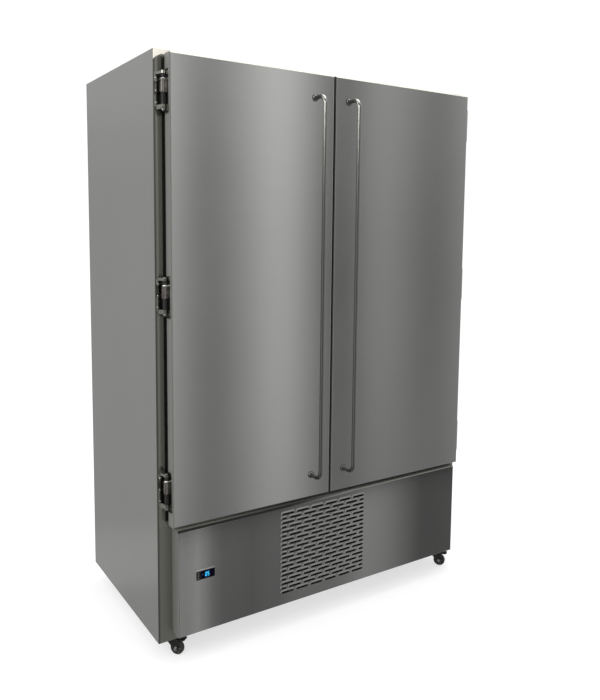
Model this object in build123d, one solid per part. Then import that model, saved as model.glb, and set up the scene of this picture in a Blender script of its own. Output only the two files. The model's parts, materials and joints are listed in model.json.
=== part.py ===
from build123d import *
from math import cos, radians, sin
import os

os.makedirs("parts", exist_ok=True)

# Two-door upright specimen refrigerator on castors, in millimetres.
# X runs to the right, Y to the back and Z up. The origin is on the floor, under the
# middle of the whole outline.

# Cabinet
cabinet_width = 1400.0
cabinet_depth = 726.0
cabinet_height = 2020.0
side_wall = 62.0
back_wall = 60.0
roof_wall = 60.0
floor_wall = 55.0
deck_height = 402.0
skin = 1.2
liner = 1.0
liner_corner = 12.0
bend = 3.0
hem = 20.0

# Post behind the meeting edges of the doors
meeting_x = -18.0
mullion_width = 60.0
mullion_depth = 45.0
mullion_lip = 14.0

# Doors
door_inset = 34.0
door_drop = 15.5
door_rise = 28.0
door_thickness = 40.0
door_stand_off = 15.0
door_gap = 6.5
door_edge_radius = 4.0
tray_inset = 38.0
tray_depth = 11.0
tray_draft = 35.0

# Magnetic gaskets
gasket_inset = 6.0
gasket_width = 18.0
gasket_groove = 3.0
seal_clearance = 0.3

# Handles
handle_tube = 16.0
handle_stand_off = 64.0
handle_bend = 30.0
handle_end_distance = 86.25
handle_flange = 24.0
handle_flange_thickness = 4.0
handle_flange_edge = 1.3
left_handle_inset = 84.0
right_handle_inset = 61.0

# Hinges
hinge_end_distance = 121.0
hinge_height = 128.0
hinge_leaf = 3.0
hinge_frame_leaf_width = 27.0
hinge_door_leaf_width = 34.0
hinge_door_leaf_height = 140.0
hinge_pivot_set = 26.0
hinge_knuckle = 15.0
hinge_pin = 8.0
hinge_upper_lug = 20.0
hinge_lower_lug = 34.0
hinge_arm_width = 11.0
hinge_housing_height = 48.0
hinge_housing_width = 19.0
hinge_bush = 14.0
pin_head = 12.0
pin_head_height = 3.0
pin_head_edge = 2.0
running_clearance = 0.05
part_clearance = 0.5

# Fascia over the machine bay
fascia_inset = 52.0
fascia_gap = 14.0
fascia_rise = 31.5
fascia_edge_radius = 3.0
grille_x = -42.0
grille_z = 303.5
slot_length = 51.0
slot_height = 6.0
slot_pitch = 66.0
slot_columns = 6
row_pitch = 17.0
slot_rows = 19
slot_corner_share = 0.29

# Temperature controller
controller_side_distance = 99.5
controller_z = 312.0
bezel_width = 74.0
bezel_height = 34.0
bezel_thickness = 6.0
bezel_radius = 2.5
housing_width = 70.0
housing_height = 28.0
housing_depth = 52.0
cutout_clearance = 0.5
window_width = 51.0
window_height = 25.0
window_depth = 1.5
window_margin = 4.0
key_width = 9.0
key_height = 6.0
key_pitch = 8.6
key_length = 5.0
key_travel = 0.8
key_proud = 1.2
key_clearance = 0.3

# Castors
castor_height = 70.0
castor_side_set = 62.0
castor_front_set = 42.0
castor_back_set = 60.0
castor_heading = -53.0
castor_trail = 27.0
wheel_diameter = 50.0
wheel_width = 20.0
wheel_shoulder = 3.5
wheel_recess = 2.5
wheel_rim = 5.0
wheel_rim_slope = 1.5
hub_diameter = 20.0
hub_slope = 1.0
axle_diameter = 8.0
castor_plate = 60.0
castor_plate_thickness = 3.0
castor_plate_hole = 6.5
castor_hole_spacing = 44.0
race_diameter = 40.0
race_height = 6.0
race_edge = 2.0
crown_thickness = 2.5
kingpin_diameter = 9.0
kingpin_head = 15.0
kingpin_head_height = 2.0
fork_clearance = 1.5
fork_thickness = 2.5
fork_eye = 18.0
axle_head = 13.0
axle_head_height = 4.0
axle_head_edge = 1.0
pedal_pin = 5.0
pedal_pin_offset = 3.0
pedal_pin_drop = 3.7
pedal_inner_reach = 4.0
pedal_reach = 31.0
pedal_width = 28.0
pedal_thickness = 4.0
pedal_tilt = 14.0
cheek_back = 14.0
cheek_front = 9.0

# Base frame
rail_height = 38.0
rail_width = 40.0
rail_wall = 3.0
tray_sheet = 1.5
corner_pad = 105.0

# Shelving
shelf_levels = 3
shelf_first = 350.0
shelf_pitch = 350.0
shelf_sheet = 1.5
shelf_lip = 25.0
shelf_side_clearance = 6.0
shelf_front_set = 12.0
shelf_back_clearance = 6.0
shelf_slot_length = 90.0
shelf_slot_width = 12.0
shelf_slot_columns = 4
shelf_slot_rows = 3
upright_width = 25.0
upright_depth = 9.0
upright_sheet = 1.2
upright_set = 90.0
mullion_upright_set = 28.0
rear_upright_offset = 60.0
clip_width = 18.0
clip_reach = 20.0
clip_sheet = 2.0
clip_height = 22.0

# Cooling unit under the ceiling
evaporator_width = 620.0
evaporator_height = 200.0
evaporator_depth = 250.0
evaporator_chamfer = 30.0
evaporator_sheet = 1.2
evaporator_coil_length = 520.0
evaporator_coil_height = 140.0
evaporator_coil_depth = 80.0
evaporator_fan_diameter = 130.0
drip_tray_height = 16.0
drip_tray_overhang = 8.0

# Condensing unit in the machine bay
condenser_width = 360.0
condenser_height = 300.0
condenser_depth = 50.0
condenser_set = 45.0
condenser_fan_diameter = 250.0
shroud_depth = 40.0
shroud_sheet = 1.5
fin_pitch = 26.0
fin_sheet = 1.5
fin_rise = 6.0
fan_clearance = 5.0
fan_hub_share = 0.28
fan_root_share = 0.8
fan_chord_share = 0.24
fan_blades = 5
fan_blade_thickness = 2.0
fan_pitch = 28.0
fan_depth = 24.0
fan_set = 4.0
arm_width = 30.0
arm_sheet = 2.0
motor_diameter = 70.0
motor_length = 55.0
motor_edge = 9.0
shaft_diameter = 8.0
compressor_x = 290.0
compressor_set = 360.0
compressor_diameter = 170.0
compressor_body = 150.0
compressor_dome = 45.0
compressor_dome_steps = 4
compressor_foot = 12.0
compressor_foot_span = 200.0
compressor_foot_depth = 120.0

# Vents and cable gland in the back
vent_slot_length = 160.0
vent_slot_height = 8.0
vent_slot_pitch = 22.0
vent_slot_rows = 8
vent_x = 330.0
vent_rise = 200.0
gland_side_distance = 140.0
gland_rise = 90.0
gland_thread = 20.0
gland_hex = 27.0
gland_bore = 9.0
gland_flange = 6.0
gland_reach = 18.0
gland_nut = 6.0
gland_edge = 3.0

# Levels and faces that the pieces share
half_width = cabinet_width / 2
handle_reach = door_stand_off + door_thickness + handle_stand_off + handle_tube / 2
overall_depth = handle_reach + cabinet_depth + gland_reach
face_y = handle_reach - overall_depth / 2
back_y = face_y + cabinet_depth
gland_x = half_width - gland_side_distance
base_z = castor_height
top_z = base_z + cabinet_height
deck_z = base_z + deck_height
floor_z = deck_z + floor_wall
ceiling_z = top_z - roof_wall
inner_half = half_width - side_wall
inner_back_y = back_y - back_wall
mullion_left = meeting_x - mullion_width / 2
mullion_right = meeting_x + mullion_width / 2

door_top = top_z - door_drop
door_bottom = deck_z + door_rise
door_middle = (door_top + door_bottom) / 2
door_back_y = face_y - door_stand_off
door_front_y = door_back_y - door_thickness
door_outer = half_width - door_inset

fascia_half = half_width - fascia_inset
controller_x = controller_side_distance - fascia_half
fascia_top = door_bottom - fascia_gap
fascia_bottom = base_z + fascia_rise
fascia_front_y = door_front_y

frame_front_y = face_y + skin
bay_floor_z = base_z + rail_height


def save(shape, name):
    export_step(shape, "parts/" + name + ".step")


def block(x_range, y_range, z_range):
    ranges = (x_range, y_range, z_range)
    middle = [(low + high) / 2 for low, high in ranges]
    size = [high - low for low, high in ranges]
    return Pos(*middle) * Box(*size)


def cylinder(centre, radius, length, direction=(0, 0, 1)):
    # The centre is the middle of the end that the direction leaves
    disc = Plane(origin=centre, z_dir=direction) * Circle(radius)
    return extrude(disc, length)


def folded(points, plane, length, sheet=skin, radius=bend):
    # A sheet folded along its middle line, as long as the fold
    line = FilletPolyline(*points, radius=radius)
    return extrude(plane * trace(line, line_width=sheet), length)


def pressed(outline, plane, length):
    # A small repeated pressing with sharp folds, from its closed outline
    return extrude(plane * make_face(Polyline(*outline, close=True)), length)


def across(x):
    # Profiles drawn as (y, z), extruded to the right from x
    return Plane(origin=(x, 0, 0), x_dir=(0, 1, 0), z_dir=(1, 0, 0))


def facing_back(x, y, z):
    # Profiles drawn as (-x, z) about a point, extruded towards the back
    return Plane(origin=(x, y, z), x_dir=(-1, 0, 0), z_dir=(0, 1, 0))


def front_rounded(x_range, y_range, z_range, radius):
    # A box whose front edges are rounded, as on a folded tray
    body = block(x_range, y_range, z_range)
    front = body.faces().sort_by(Axis.Y)[0]
    return fillet(front.edges(), radius)


def inset(limits, amount):
    return (limits[0] + amount, limits[1] - amount)


# Outer panels

def side_panel(side):
    # One sheet: the front stile, the side and a hem at the back
    mid = skin / 2
    outer = half_width - mid
    front = face_y + mid
    rear = back_y - skin - mid
    points = [
        (side * (half_width - side_wall), front),
        (side * outer, front),
        (side * outer, rear),
        (side * (outer - hem), rear),
    ]
    return folded(points, Plane.XY.offset(base_z), cabinet_height)


def top_panel():
    # The top folds down over the opening in front and has a hem at the back
    mid = skin / 2
    points = [
        (face_y + mid, ceiling_z),
        (face_y + mid, top_z - mid),
        (back_y - skin - mid, top_z - mid),
        (back_y - skin - mid, top_z - mid - hem),
    ]
    half = half_width - skin
    panel = folded(points, across(-half), 2 * half)
    for side in (-1, 1):
        front_notch = sorted((side * inner_half, side * half_width))
        rear_notch = sorted((side * (half - hem), side * half_width))
        below = (ceiling_z - hem, top_z - 2 * bend)
        panel -= block(front_notch, (face_y - skin, face_y + 2 * bend), (ceiling_z - hem, top_z + skin))
        panel -= block(rear_notch, (back_y - 2 * bend, back_y), (below[0], top_z + skin))
    return panel


def slot(length, height):
    # A slot whose ends are rounded in three flats, which keeps the repeats light
    outline = Rectangle(length, height)
    return chamfer(outline.vertices(), height * slot_corner_share)


def slot_patch(columns, rows, pitch_x, pitch_z, length, height):
    # Straight rows of slots
    spots = GridLocations(pitch_x, pitch_z, columns, rows)
    return Sketch() + [spot * slot(length, height) for spot in spots]


def back_panel():
    panel = block((-half_width, half_width), (back_y - skin, back_y), (base_z, top_z))
    vents = slot_patch(1, vent_slot_rows, 0, vent_slot_pitch, vent_slot_length, vent_slot_height)
    start_y = back_y - 2 * skin
    for x in (-vent_x, vent_x):
        panel -= extrude(facing_back(x, start_y, base_z + vent_rise) * vents, 3 * skin)
    hole = (gland_x, start_y, base_z + gland_rise)
    return panel - cylinder(hole, gland_thread / 2, 3 * skin, (0, 1, 0))


def deck_panel():
    # The sill between doors and fascia runs back under the insulation as the deck
    mid = skin / 2
    points = [
        (face_y + mid, floor_z - liner),
        (face_y + mid, deck_z + mid),
        (back_y - skin - mid, deck_z + mid),
        (back_y - skin - mid, deck_z + mid + hem),
    ]
    deck = folded(points, across(-inner_half), 2 * inner_half)
    return deck


def base_frame():
    # Channel rails open to the inside, corner pads under them and a drip-proof bay floor
    x_limits = (-half_width + skin, half_width - skin)
    y_limits = (frame_front_y, back_y - 2 * skin)
    z_limits = (base_z, bay_floor_z)
    ring = block(x_limits, y_limits, z_limits)
    ring = chamfer(ring.edges().filter_by(Axis.Z), bend)
    ring -= block(inset(x_limits, rail_width), inset(y_limits, rail_width), inset(z_limits, -rail_wall))
    ring -= block(inset(x_limits, rail_wall), inset(y_limits, rail_wall), inset(z_limits, rail_wall))
    tray_z = (bay_floor_z - tray_sheet, bay_floor_z)
    ring += block(inset(x_limits, rail_wall), inset(y_limits, rail_wall), tray_z)
    pad_z = (base_z, base_z + rail_wall)
    for x_end, x_step in ((x_limits[0], corner_pad), (x_limits[1], -corner_pad)):
        for y_end, y_step in ((y_limits[0], corner_pad), (y_limits[1], -corner_pad)):
            x_pad = sorted((x_end + bend * x_step / corner_pad, x_end + x_step))
            y_pad = sorted((y_end + bend * y_step / corner_pad, y_end + y_step))
            ring += block(x_pad, y_pad, pad_z)
    return ring


# Insulation and liner

foam_front_y = face_y + skin
foam_back_y = back_y - 2 * skin
foam_bottom_z = deck_z + skin
foam_top_z = top_z - skin
liner_half = inner_half + liner
liner_back_y = inner_back_y + liner


def liner_outside():
    # The liner's outer form, with a coved corner all round the back
    z_limits = (floor_z - liner, ceiling_z + liner)
    body = block((-liner_half, liner_half), (foam_front_y, liner_back_y), z_limits)
    rear = body.faces().sort_by(Axis.Y)[-1]
    return fillet(rear.edges(), liner_corner + liner)


def inner_liner():
    inner = block((-inner_half, inner_half), (foam_front_y - liner, inner_back_y), (floor_z, ceiling_z))
    rear = inner.faces().sort_by(Axis.Y)[-1]
    return liner_outside() - fillet(rear.edges(), liner_corner)


def insulation_pieces():
    # One foam body that clears the bends of the outer sheets, cut into its slabs
    outer = half_width - skin
    depth = (foam_front_y, foam_back_y)
    height = (foam_bottom_z, foam_top_z)
    foam = block((-outer, outer), depth, height)
    foam = chamfer(foam.edges(), bend) - liner_outside()
    between = (-liner_half, liner_half)
    inside = (floor_z - liner, ceiling_z + liner)
    return {
        "insulation_left": foam & block((-outer, -liner_half), depth, height),
        "insulation_right": foam & block((liner_half, outer), depth, height),
        "insulation_back": foam & block(between, (inner_back_y - liner_corner, foam_back_y), inside),
        "insulation_roof": foam & block(between, depth, (inside[1], height[1])),
        "insulation_floor": foam & block(between, depth, (height[0], inside[0])),
    }


def centre_mullion():
    # Post folded from one sheet, open at the back between two lips
    mid = skin / 2
    front = face_y + mid
    rear = face_y + mullion_depth - mid
    left = mullion_left + mid
    right = mullion_right - mid
    points = [
        (left + mullion_lip, rear),
        (left, rear),
        (left, front),
        (right, front),
        (right, rear),
        (right - mullion_lip, rear),
    ]
    return folded(points, Plane.XY.offset(floor_z), ceiling_z - floor_z)


# Doors

def door_x(side):
    # Left and right limits of the door on that side
    free_edge = meeting_x + side * door_gap / 2
    return sorted((side * door_outer, free_edge))


def door_core(side, reach):
    # The space inside the outer skin, back to the given distance from its open side
    x_limits = inset(door_x(side), skin)
    y_limits = (door_front_y + skin, door_back_y - reach)
    z_limits = inset((door_bottom, door_top), skin)
    return front_rounded(x_limits, y_limits, z_limits, door_edge_radius - skin)


def door_skin(side):
    body = front_rounded(door_x(side), (door_front_y, door_back_y), (door_bottom, door_top), door_edge_radius)
    return body - door_core(side, -skin)


def tray_form(side, grow):
    # The stiffening tray pressed into the door's inner sheet
    x_limits = inset(door_x(side), tray_inset - grow)
    z_limits = inset((door_bottom, door_top), tray_inset - grow)
    width = x_limits[1] - x_limits[0]
    height = z_limits[1] - z_limits[0]
    place = facing_back(sum(x_limits) / 2, door_back_y - skin + grow, sum(z_limits) / 2)
    return extrude(place * Rectangle(width, height), tray_depth, taper=tray_draft)


def door_inner_panel(side):
    x_limits = inset(door_x(side), skin)
    z_limits = inset((door_bottom, door_top), skin)
    sheet = block(x_limits, (door_back_y - skin, door_back_y), z_limits)
    return sheet + tray_form(side, skin / 2) - tray_form(side, -skin / 2)


def door_gasket(side):
    # Frame-shaped seal with a fold line around its outside
    x_limits = inset(door_x(side), gasket_inset)
    z_limits = inset((door_bottom, door_top), gasket_inset)
    y_limits = (door_back_y, face_y - seal_clearance)
    fold_y = (sum(y_limits) - gasket_groove) / 2
    seal = block(x_limits, y_limits, z_limits)
    groove = block(inset(x_limits, -1), (fold_y, fold_y + gasket_groove), inset(z_limits, -1))
    groove -= block(inset(x_limits, gasket_groove), y_limits, inset(z_limits, gasket_groove))
    seal -= groove
    seal -= block(inset(x_limits, gasket_width), inset(y_limits, -1), inset(z_limits, gasket_width))
    return seal


def door_handle(x):
    # Tube bent back to the door at both ends, with a flange welded on each. It is closed
    # by the door, so it is solid inside.
    low = door_bottom + handle_end_distance
    high = door_top - handle_end_distance
    tube_y = door_front_y - handle_stand_off
    path = FilletPolyline(
        (x, door_front_y, low),
        (x, tube_y, low),
        (x, tube_y, high),
        (x, door_front_y, high),
        radius=handle_bend,
    )
    section = Circle(handle_tube / 2)
    handle = sweep(Plane(origin=(x, door_front_y, low), z_dir=(0, -1, 0)) * section, path=path)
    for z in (low, high):
        flange = cylinder((x, door_front_y, z), handle_flange / 2, handle_flange_thickness, (0, -1, 0))
        handle += chamfer(flange.edges().sort_by(Axis.Y)[0], handle_flange_edge)
    return handle


# Hinges

hinge_levels = (door_bottom + hinge_end_distance, door_middle, door_top - hinge_end_distance)
hinge_axis_x = door_outer + hinge_leaf + part_clearance + hinge_knuckle / 2
hinge_axis_y = face_y - hinge_pivot_set
lower_lug_top = hinge_lower_lug - hinge_height / 2
housing_top = hinge_height / 2 - hinge_upper_lug - part_clearance
housing_bottom = housing_top - hinge_housing_height


def hinge_frame_leaf(side, z):
    # Plate on the stile with a lug at each end that holds the pin
    near = door_outer + hinge_leaf + 2 * part_clearance
    x_limits = sorted((side * near, side * (near + hinge_frame_leaf_width)))
    y_limits = (face_y - hinge_leaf, face_y)
    plate = block(x_limits, y_limits, (z - hinge_height / 2, z + hinge_height / 2))
    plate = fillet(plate.edges().filter_by(Axis.Y), hinge_leaf)
    axis_x = side * hinge_axis_x
    arm_x = (axis_x - hinge_arm_width / 2, axis_x + hinge_arm_width / 2)
    lower = (z - hinge_height / 2, hinge_lower_lug)
    upper = (z + hinge_height / 2 - hinge_upper_lug, hinge_upper_lug)
    for low, height in (lower, upper):
        lug = block(arm_x, (hinge_axis_y, face_y - hinge_leaf / 2), (low, low + height))
        lug += cylinder((axis_x, hinge_axis_y, low), hinge_knuckle / 2, height)
        plate += lug
    plate -= cylinder((axis_x, hinge_axis_y, z - hinge_height), hinge_pin / 2, 2 * hinge_height)
    return plate


def hinge_door_leaf(side, z):
    # Plate on the edge of the door with the housing that turns on the pin
    x_limits = sorted((side * door_outer, side * (door_outer + hinge_leaf)))
    y_middle = (door_front_y + door_back_y) / 2
    y_limits = (y_middle - hinge_door_leaf_width / 2, y_middle + hinge_door_leaf_width / 2)
    half = hinge_door_leaf_height / 2
    plate = block(x_limits, y_limits, (z - half, z + half))
    plate = fillet(plate.edges().filter_by(Axis.X), 3 * hinge_leaf)
    axis_x = side * hinge_axis_x
    housing_x = (axis_x - hinge_housing_width / 2, axis_x + hinge_housing_width / 2)
    housing_y = (hinge_axis_y - hinge_housing_width / 2, hinge_axis_y + hinge_housing_width / 2)
    housing = block(housing_x, housing_y, (z + housing_bottom, z + housing_top))
    outer_edges = housing.edges().filter_by(Axis.Z).sort_by(Axis.X)
    outer_edges = outer_edges[:2] if side < 0 else outer_edges[-2:]
    housing = fillet(outer_edges, hinge_leaf)
    leaf = plate + housing
    # Nothing of the housing may reach past the plate's seat on the door
    seat_x = sorted((side * door_outer, side * half_width))
    leaf &= block(seat_x, (door_front_y, face_y), (z - half, z + half))
    bore = hinge_pin / 2 + running_clearance
    leaf -= cylinder((axis_x, hinge_axis_y, z - hinge_height), bore, 2 * hinge_height)
    return leaf


def hinge_pin_set(side, z):
    # Pin with a head that is bevelled on top, and the bush that carries the housing
    axis_x = side * hinge_axis_x
    top = z + hinge_height / 2
    pin = cylinder((axis_x, hinge_axis_y, z - hinge_height / 2), hinge_pin / 2, hinge_height)
    head = cylinder((axis_x, hinge_axis_y, top), pin_head / 2, pin_head_height)
    head = chamfer(head.edges().sort_by(Axis.Z)[-1], pin_head_edge)
    bush_low = z + lower_lug_top
    bush_high = z + housing_bottom - seal_clearance
    bush = cylinder((axis_x, hinge_axis_y, bush_low), hinge_bush / 2, bush_high - bush_low)
    bush -= cylinder((axis_x, hinge_axis_y, bush_low), hinge_pin / 2, hinge_height)
    return [pin + head, bush]


# Fascia with its staggered grille

def grille_slots():
    # Every second row is shifted by half a pitch and trimmed at the ends of the patch
    width = (slot_columns - 1) * slot_pitch + slot_length
    height = (slot_rows - 1) * row_pitch + slot_height
    single = slot(slot_length, slot_height)
    faces = []
    for row in range(slot_rows):
        z = (row - (slot_rows - 1) / 2) * row_pitch
        shift = 0.5 * (row % 2)
        for column in range(slot_columns + row % 2):
            x = (column - shift - (slot_columns - 1) / 2) * slot_pitch
            faces.append(Pos(x, z) * single)
    return (Sketch() + faces) & Rectangle(width, 2 * height)


def fascia_panel():
    x_limits = (-fascia_half, fascia_half)
    y_limits = (fascia_front_y, face_y)
    z_limits = (fascia_bottom, fascia_top)
    panel = front_rounded(x_limits, y_limits, z_limits, fascia_edge_radius)
    hollow_y = (fascia_front_y + skin, face_y + skin)
    panel -= front_rounded(inset(x_limits, skin), hollow_y, inset(z_limits, skin), fascia_edge_radius - skin)
    panel -= extrude(facing_back(grille_x, fascia_front_y - skin, grille_z) * grille_slots(), 3 * skin)
    cut_x = housing_width / 2 + cutout_clearance
    cut_z = housing_height / 2 + cutout_clearance
    panel -= block(
        (controller_x - cut_x, controller_x + cut_x),
        (fascia_front_y - skin, fascia_front_y + 2 * skin),
        (controller_z - cut_z, controller_z + cut_z),
    )
    return panel


# Controller

bezel_front_y = fascia_front_y - bezel_thickness
window_x = controller_x + (bezel_width - window_width) / 2 - window_margin
key_x = controller_x - bezel_width / 2 + window_margin + key_width / 2
key_levels = [controller_z + step * key_pitch for step in (-1, 0, 1)]
key_well = key_length + key_travel + key_clearance


def controller_body():
    x_limits = (controller_x - bezel_width / 2, controller_x + bezel_width / 2)
    z_limits = (controller_z - bezel_height / 2, controller_z + bezel_height / 2)
    body = front_rounded(x_limits, (bezel_front_y, fascia_front_y), z_limits, bezel_radius)
    body += block(
        (controller_x - housing_width / 2, controller_x + housing_width / 2),
        (fascia_front_y, fascia_front_y + housing_depth),
        (controller_z - housing_height / 2, controller_z + housing_height / 2),
    )
    body -= block(
        (window_x - window_width / 2, window_x + window_width / 2),
        (bezel_front_y - 1, bezel_front_y + window_depth),
        (controller_z - window_height / 2, controller_z + window_height / 2),
    )
    for z in key_levels:
        half_x = key_width / 2 + key_clearance
        half_z = key_height / 2 + key_clearance
        well_y = (bezel_front_y - 1, bezel_front_y + key_well - key_proud)
        body -= block((key_x - half_x, key_x + half_x), well_y, (z - half_z, z + half_z))
    return body


def controller_display():
    # Smoked window, set a little back in its recess
    half_x = (window_width - cutout_clearance) / 2
    half_z = (window_height - cutout_clearance) / 2
    return block(
        (window_x - half_x, window_x + half_x),
        (bezel_front_y + window_depth / 3, bezel_front_y + window_depth),
        (controller_z - half_z, controller_z + half_z),
    )


def controller_key(z):
    front = bezel_front_y - key_proud
    key = block(
        (key_x - key_width / 2, key_x + key_width / 2),
        (front, front + key_length),
        (z - key_height / 2, z + key_height / 2),
    )
    return fillet(key.faces().sort_by(Axis.Y)[0].edges(), key_proud / 2)


# Castors

def castor_place(side, end):
    y = face_y + castor_front_set if end == "front" else back_y - castor_back_set
    return Pos(side * (half_width - castor_side_set), y, 0)


turned = Rot(0, 0, castor_heading)
wheel_radius = wheel_diameter / 2
plate_bottom = base_z - castor_plate_thickness
race_bottom = plate_bottom - race_height
crown_top = race_bottom - seal_clearance
crown_bottom = crown_top - crown_thickness
cheek_inner = wheel_width / 2 + fork_clearance
cheek_outer = cheek_inner + fork_thickness
pedal_x = castor_trail + pedal_pin_offset
pedal_z = crown_bottom - pedal_pin_drop


def castor_plate_piece():
    # Fixed plate, ball race and the kingpin that holds the fork
    plate = block(
        (-castor_plate / 2, castor_plate / 2), (-castor_plate / 2, castor_plate / 2), (plate_bottom, base_z)
    )
    plate = fillet(plate.edges().filter_by(Axis.Z), 2 * castor_plate_thickness)
    for spot in GridLocations(castor_hole_spacing, castor_hole_spacing, 2, 2):
        plate -= spot * cylinder((0, 0, plate_bottom), castor_plate_hole / 2, castor_plate_thickness)
    race = cylinder((0, 0, race_bottom), race_diameter / 2, race_height)
    race = chamfer(race.edges().sort_by(Axis.Z)[0], race_edge)
    head_top = crown_bottom - seal_clearance
    kingpin = cylinder((0, 0, head_top), kingpin_diameter / 2, race_bottom - head_top)
    kingpin += cylinder((0, 0, head_top - kingpin_head_height), kingpin_head / 2, kingpin_head_height)
    return plate + race + kingpin


def castor_fork(braked):
    # Crown and two cheeks that narrow to the axle, drawn with the trail along X
    crown = cylinder((0, 0, crown_bottom), race_diameter / 2, crown_thickness)
    crown += block((0, castor_trail), (-cheek_outer, cheek_outer), (crown_bottom, crown_top))
    crown -= cylinder((0, 0, crown_bottom), kingpin_diameter / 2 + running_clearance, crown_thickness)
    eye = Pos(castor_trail, wheel_radius) * Circle(fork_eye / 2)
    cheek_top = Pos((castor_trail + cheek_front - cheek_back) / 2, crown_top - crown_thickness)
    cheek_top *= Rectangle(castor_trail + cheek_front + cheek_back, 2 * crown_thickness)
    outline = make_hull([*eye.edges(), *cheek_top.edges()])
    for side in (-1, 1):
        start = (0, side * cheek_inner, 0)
        cheek = Plane(origin=start, x_dir=(1, 0, 0), z_dir=(0, -1, 0)) * outline
        crown += extrude(cheek, -side * fork_thickness)
    hole = axle_diameter / 2 + running_clearance
    crown -= cylinder((castor_trail, -2 * cheek_outer, wheel_radius), hole, 4 * cheek_outer, (0, 1, 0))
    if braked:
        hole = pedal_pin / 2 + running_clearance
        crown -= cylinder((pedal_x, -2 * cheek_outer, pedal_z), hole, 4 * cheek_outer, (0, 1, 0))
    return crown


def castor_axle():
    axle = cylinder((castor_trail, -cheek_outer, wheel_radius), axle_diameter / 2, 2 * cheek_outer, (0, 1, 0))
    for side in (-1, 1):
        start = (castor_trail, side * cheek_outer, wheel_radius)
        cap = cylinder(start, axle_head / 2, axle_head_height, (0, side, 0))
        far = cap.faces().sort_by(Axis.Y)[0 if side < 0 else -1]
        axle += chamfer(far.edges(), axle_head_edge)
    return axle


def castor_wheel():
    # Tread with eased shoulders, a dished face and a raised hub, drawn as (radius, width)
    half = wheel_width / 2
    hub = hub_diameter / 2
    rim = wheel_radius - wheel_rim
    eased = wheel_shoulder * (1 - cos(radians(45)))
    outer_half = [
        (axle_diameter / 2 + running_clearance, half),
        (hub, half),
        (hub + hub_slope, half - wheel_recess),
        (rim - wheel_rim_slope, half - wheel_recess),
        (rim, half),
        (wheel_radius - wheel_shoulder, half),
        (wheel_radius - eased, half - eased),
        (wheel_radius, half - wheel_shoulder),
    ]
    inner_half = [(radius, -width) for radius, width in reversed(outer_half)]
    section = make_face(Polyline(*outer_half, *inner_half, close=True))
    wheel = revolve(Plane.XY * section, Axis.Y)
    return Pos(castor_trail, 0, wheel_radius) * wheel


def castor_brake():
    # Foot lever between the cheeks, turning on its own pin
    low = pedal_thickness / 2
    half = cheek_inner - part_clearance
    lever = block((-pedal_inner_reach, pedal_reach), (-half, half), (-low, low))
    pad = block((pedal_reach / 2, pedal_reach), (-pedal_width / 2, pedal_width / 2), (-low, low))
    lever += fillet(pad.edges().filter_by(Axis.Z).group_by(Axis.X)[-1], pedal_thickness)
    pin = cylinder((0, -cheek_outer, 0), pedal_pin / 2, 2 * cheek_outer, (0, 1, 0))
    return Pos(pedal_x, 0, pedal_z) * (Rot(0, -pedal_tilt, 0) * lever + pin)


# Shelving

upright_bottom = floor_z + liner_corner
upright_top = ceiling_z - evaporator_height - drip_tray_height - drip_tray_overhang
shelf_front_y = face_y + shelf_front_set
shelf_back_y = inner_back_y - upright_depth - shelf_back_clearance
shelf_tops = [floor_z + shelf_first + level * shelf_pitch for level in range(shelf_levels)]


def shelf_limits(side):
    # From the wall to the post, clear of the uprights on both
    post = mullion_left if side < 0 else mullion_right
    clear = upright_depth + shelf_side_clearance
    return sorted((side * (inner_half - clear), post + side * clear))


def upright_places(side):
    # Foot of each upright on the middle of its seat, with the way it faces
    post = mullion_left if side < 0 else mullion_right
    rear_x = post + side * rear_upright_offset
    return [
        ((side * inner_half, face_y + upright_set), side * 90),
        ((side * inner_half, inner_back_y - upright_set), side * 90),
        ((post, face_y + mullion_upright_set), -side * 90),
        ((rear_x, inner_back_y), 180),
    ]


def upright():
    # Slim channel, open towards its seat, standing on the plane y = 0
    half = upright_width / 2
    inner = half - upright_sheet
    depth = upright_depth - upright_sheet
    outline = [
        (-half, 0),
        (-half, upright_depth),
        (half, upright_depth),
        (half, 0),
        (inner, 0),
        (inner, depth),
        (-inner, depth),
        (-inner, 0),
    ]
    return pressed(outline, Plane.XY.offset(upright_bottom), upright_top - upright_bottom)


def clip(top):
    # Bracket that hooks on the channel's face and reaches under the shelf
    far = upright_depth + clip_reach
    near = upright_depth + clip_sheet
    outline = [
        (upright_depth, top - clip_height),
        (upright_depth, top),
        (far, top),
        (far, top - clip_sheet),
        (near, top - clip_sheet),
        (near, top - clip_height),
    ]
    return pressed(outline, across(-clip_width / 2), clip_width)


def at_upright(place):
    (x, y), facing = place
    return Pos(x, y, 0) * Rot(0, 0, facing)


def shelf(side, top):
    # Sheet with a lip down in front and a stop up at the back
    mid = shelf_sheet / 2
    x_limits = shelf_limits(side)
    points = [
        (shelf_front_y + mid, top - shelf_lip),
        (shelf_front_y + mid, top - mid),
        (shelf_back_y - mid, top - mid),
        (shelf_back_y - mid, top + shelf_lip),
    ]
    sheet = folded(points, across(x_limits[0]), x_limits[1] - x_limits[0], shelf_sheet)
    pitch_x = (x_limits[1] - x_limits[0]) / shelf_slot_columns
    pitch_y = (shelf_back_y - shelf_front_y) / shelf_slot_rows
    slots = slot_patch(
        shelf_slot_columns, shelf_slot_rows, pitch_x, pitch_y, shelf_slot_length, shelf_slot_width
    )
    centre = (sum(x_limits) / 2, (shelf_front_y + shelf_back_y) / 2, top - 2 * shelf_sheet)
    return sheet - extrude(Plane(origin=centre) * slots, 3 * shelf_sheet)


# Fans, shared by the cooling unit and the condensing unit

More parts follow.
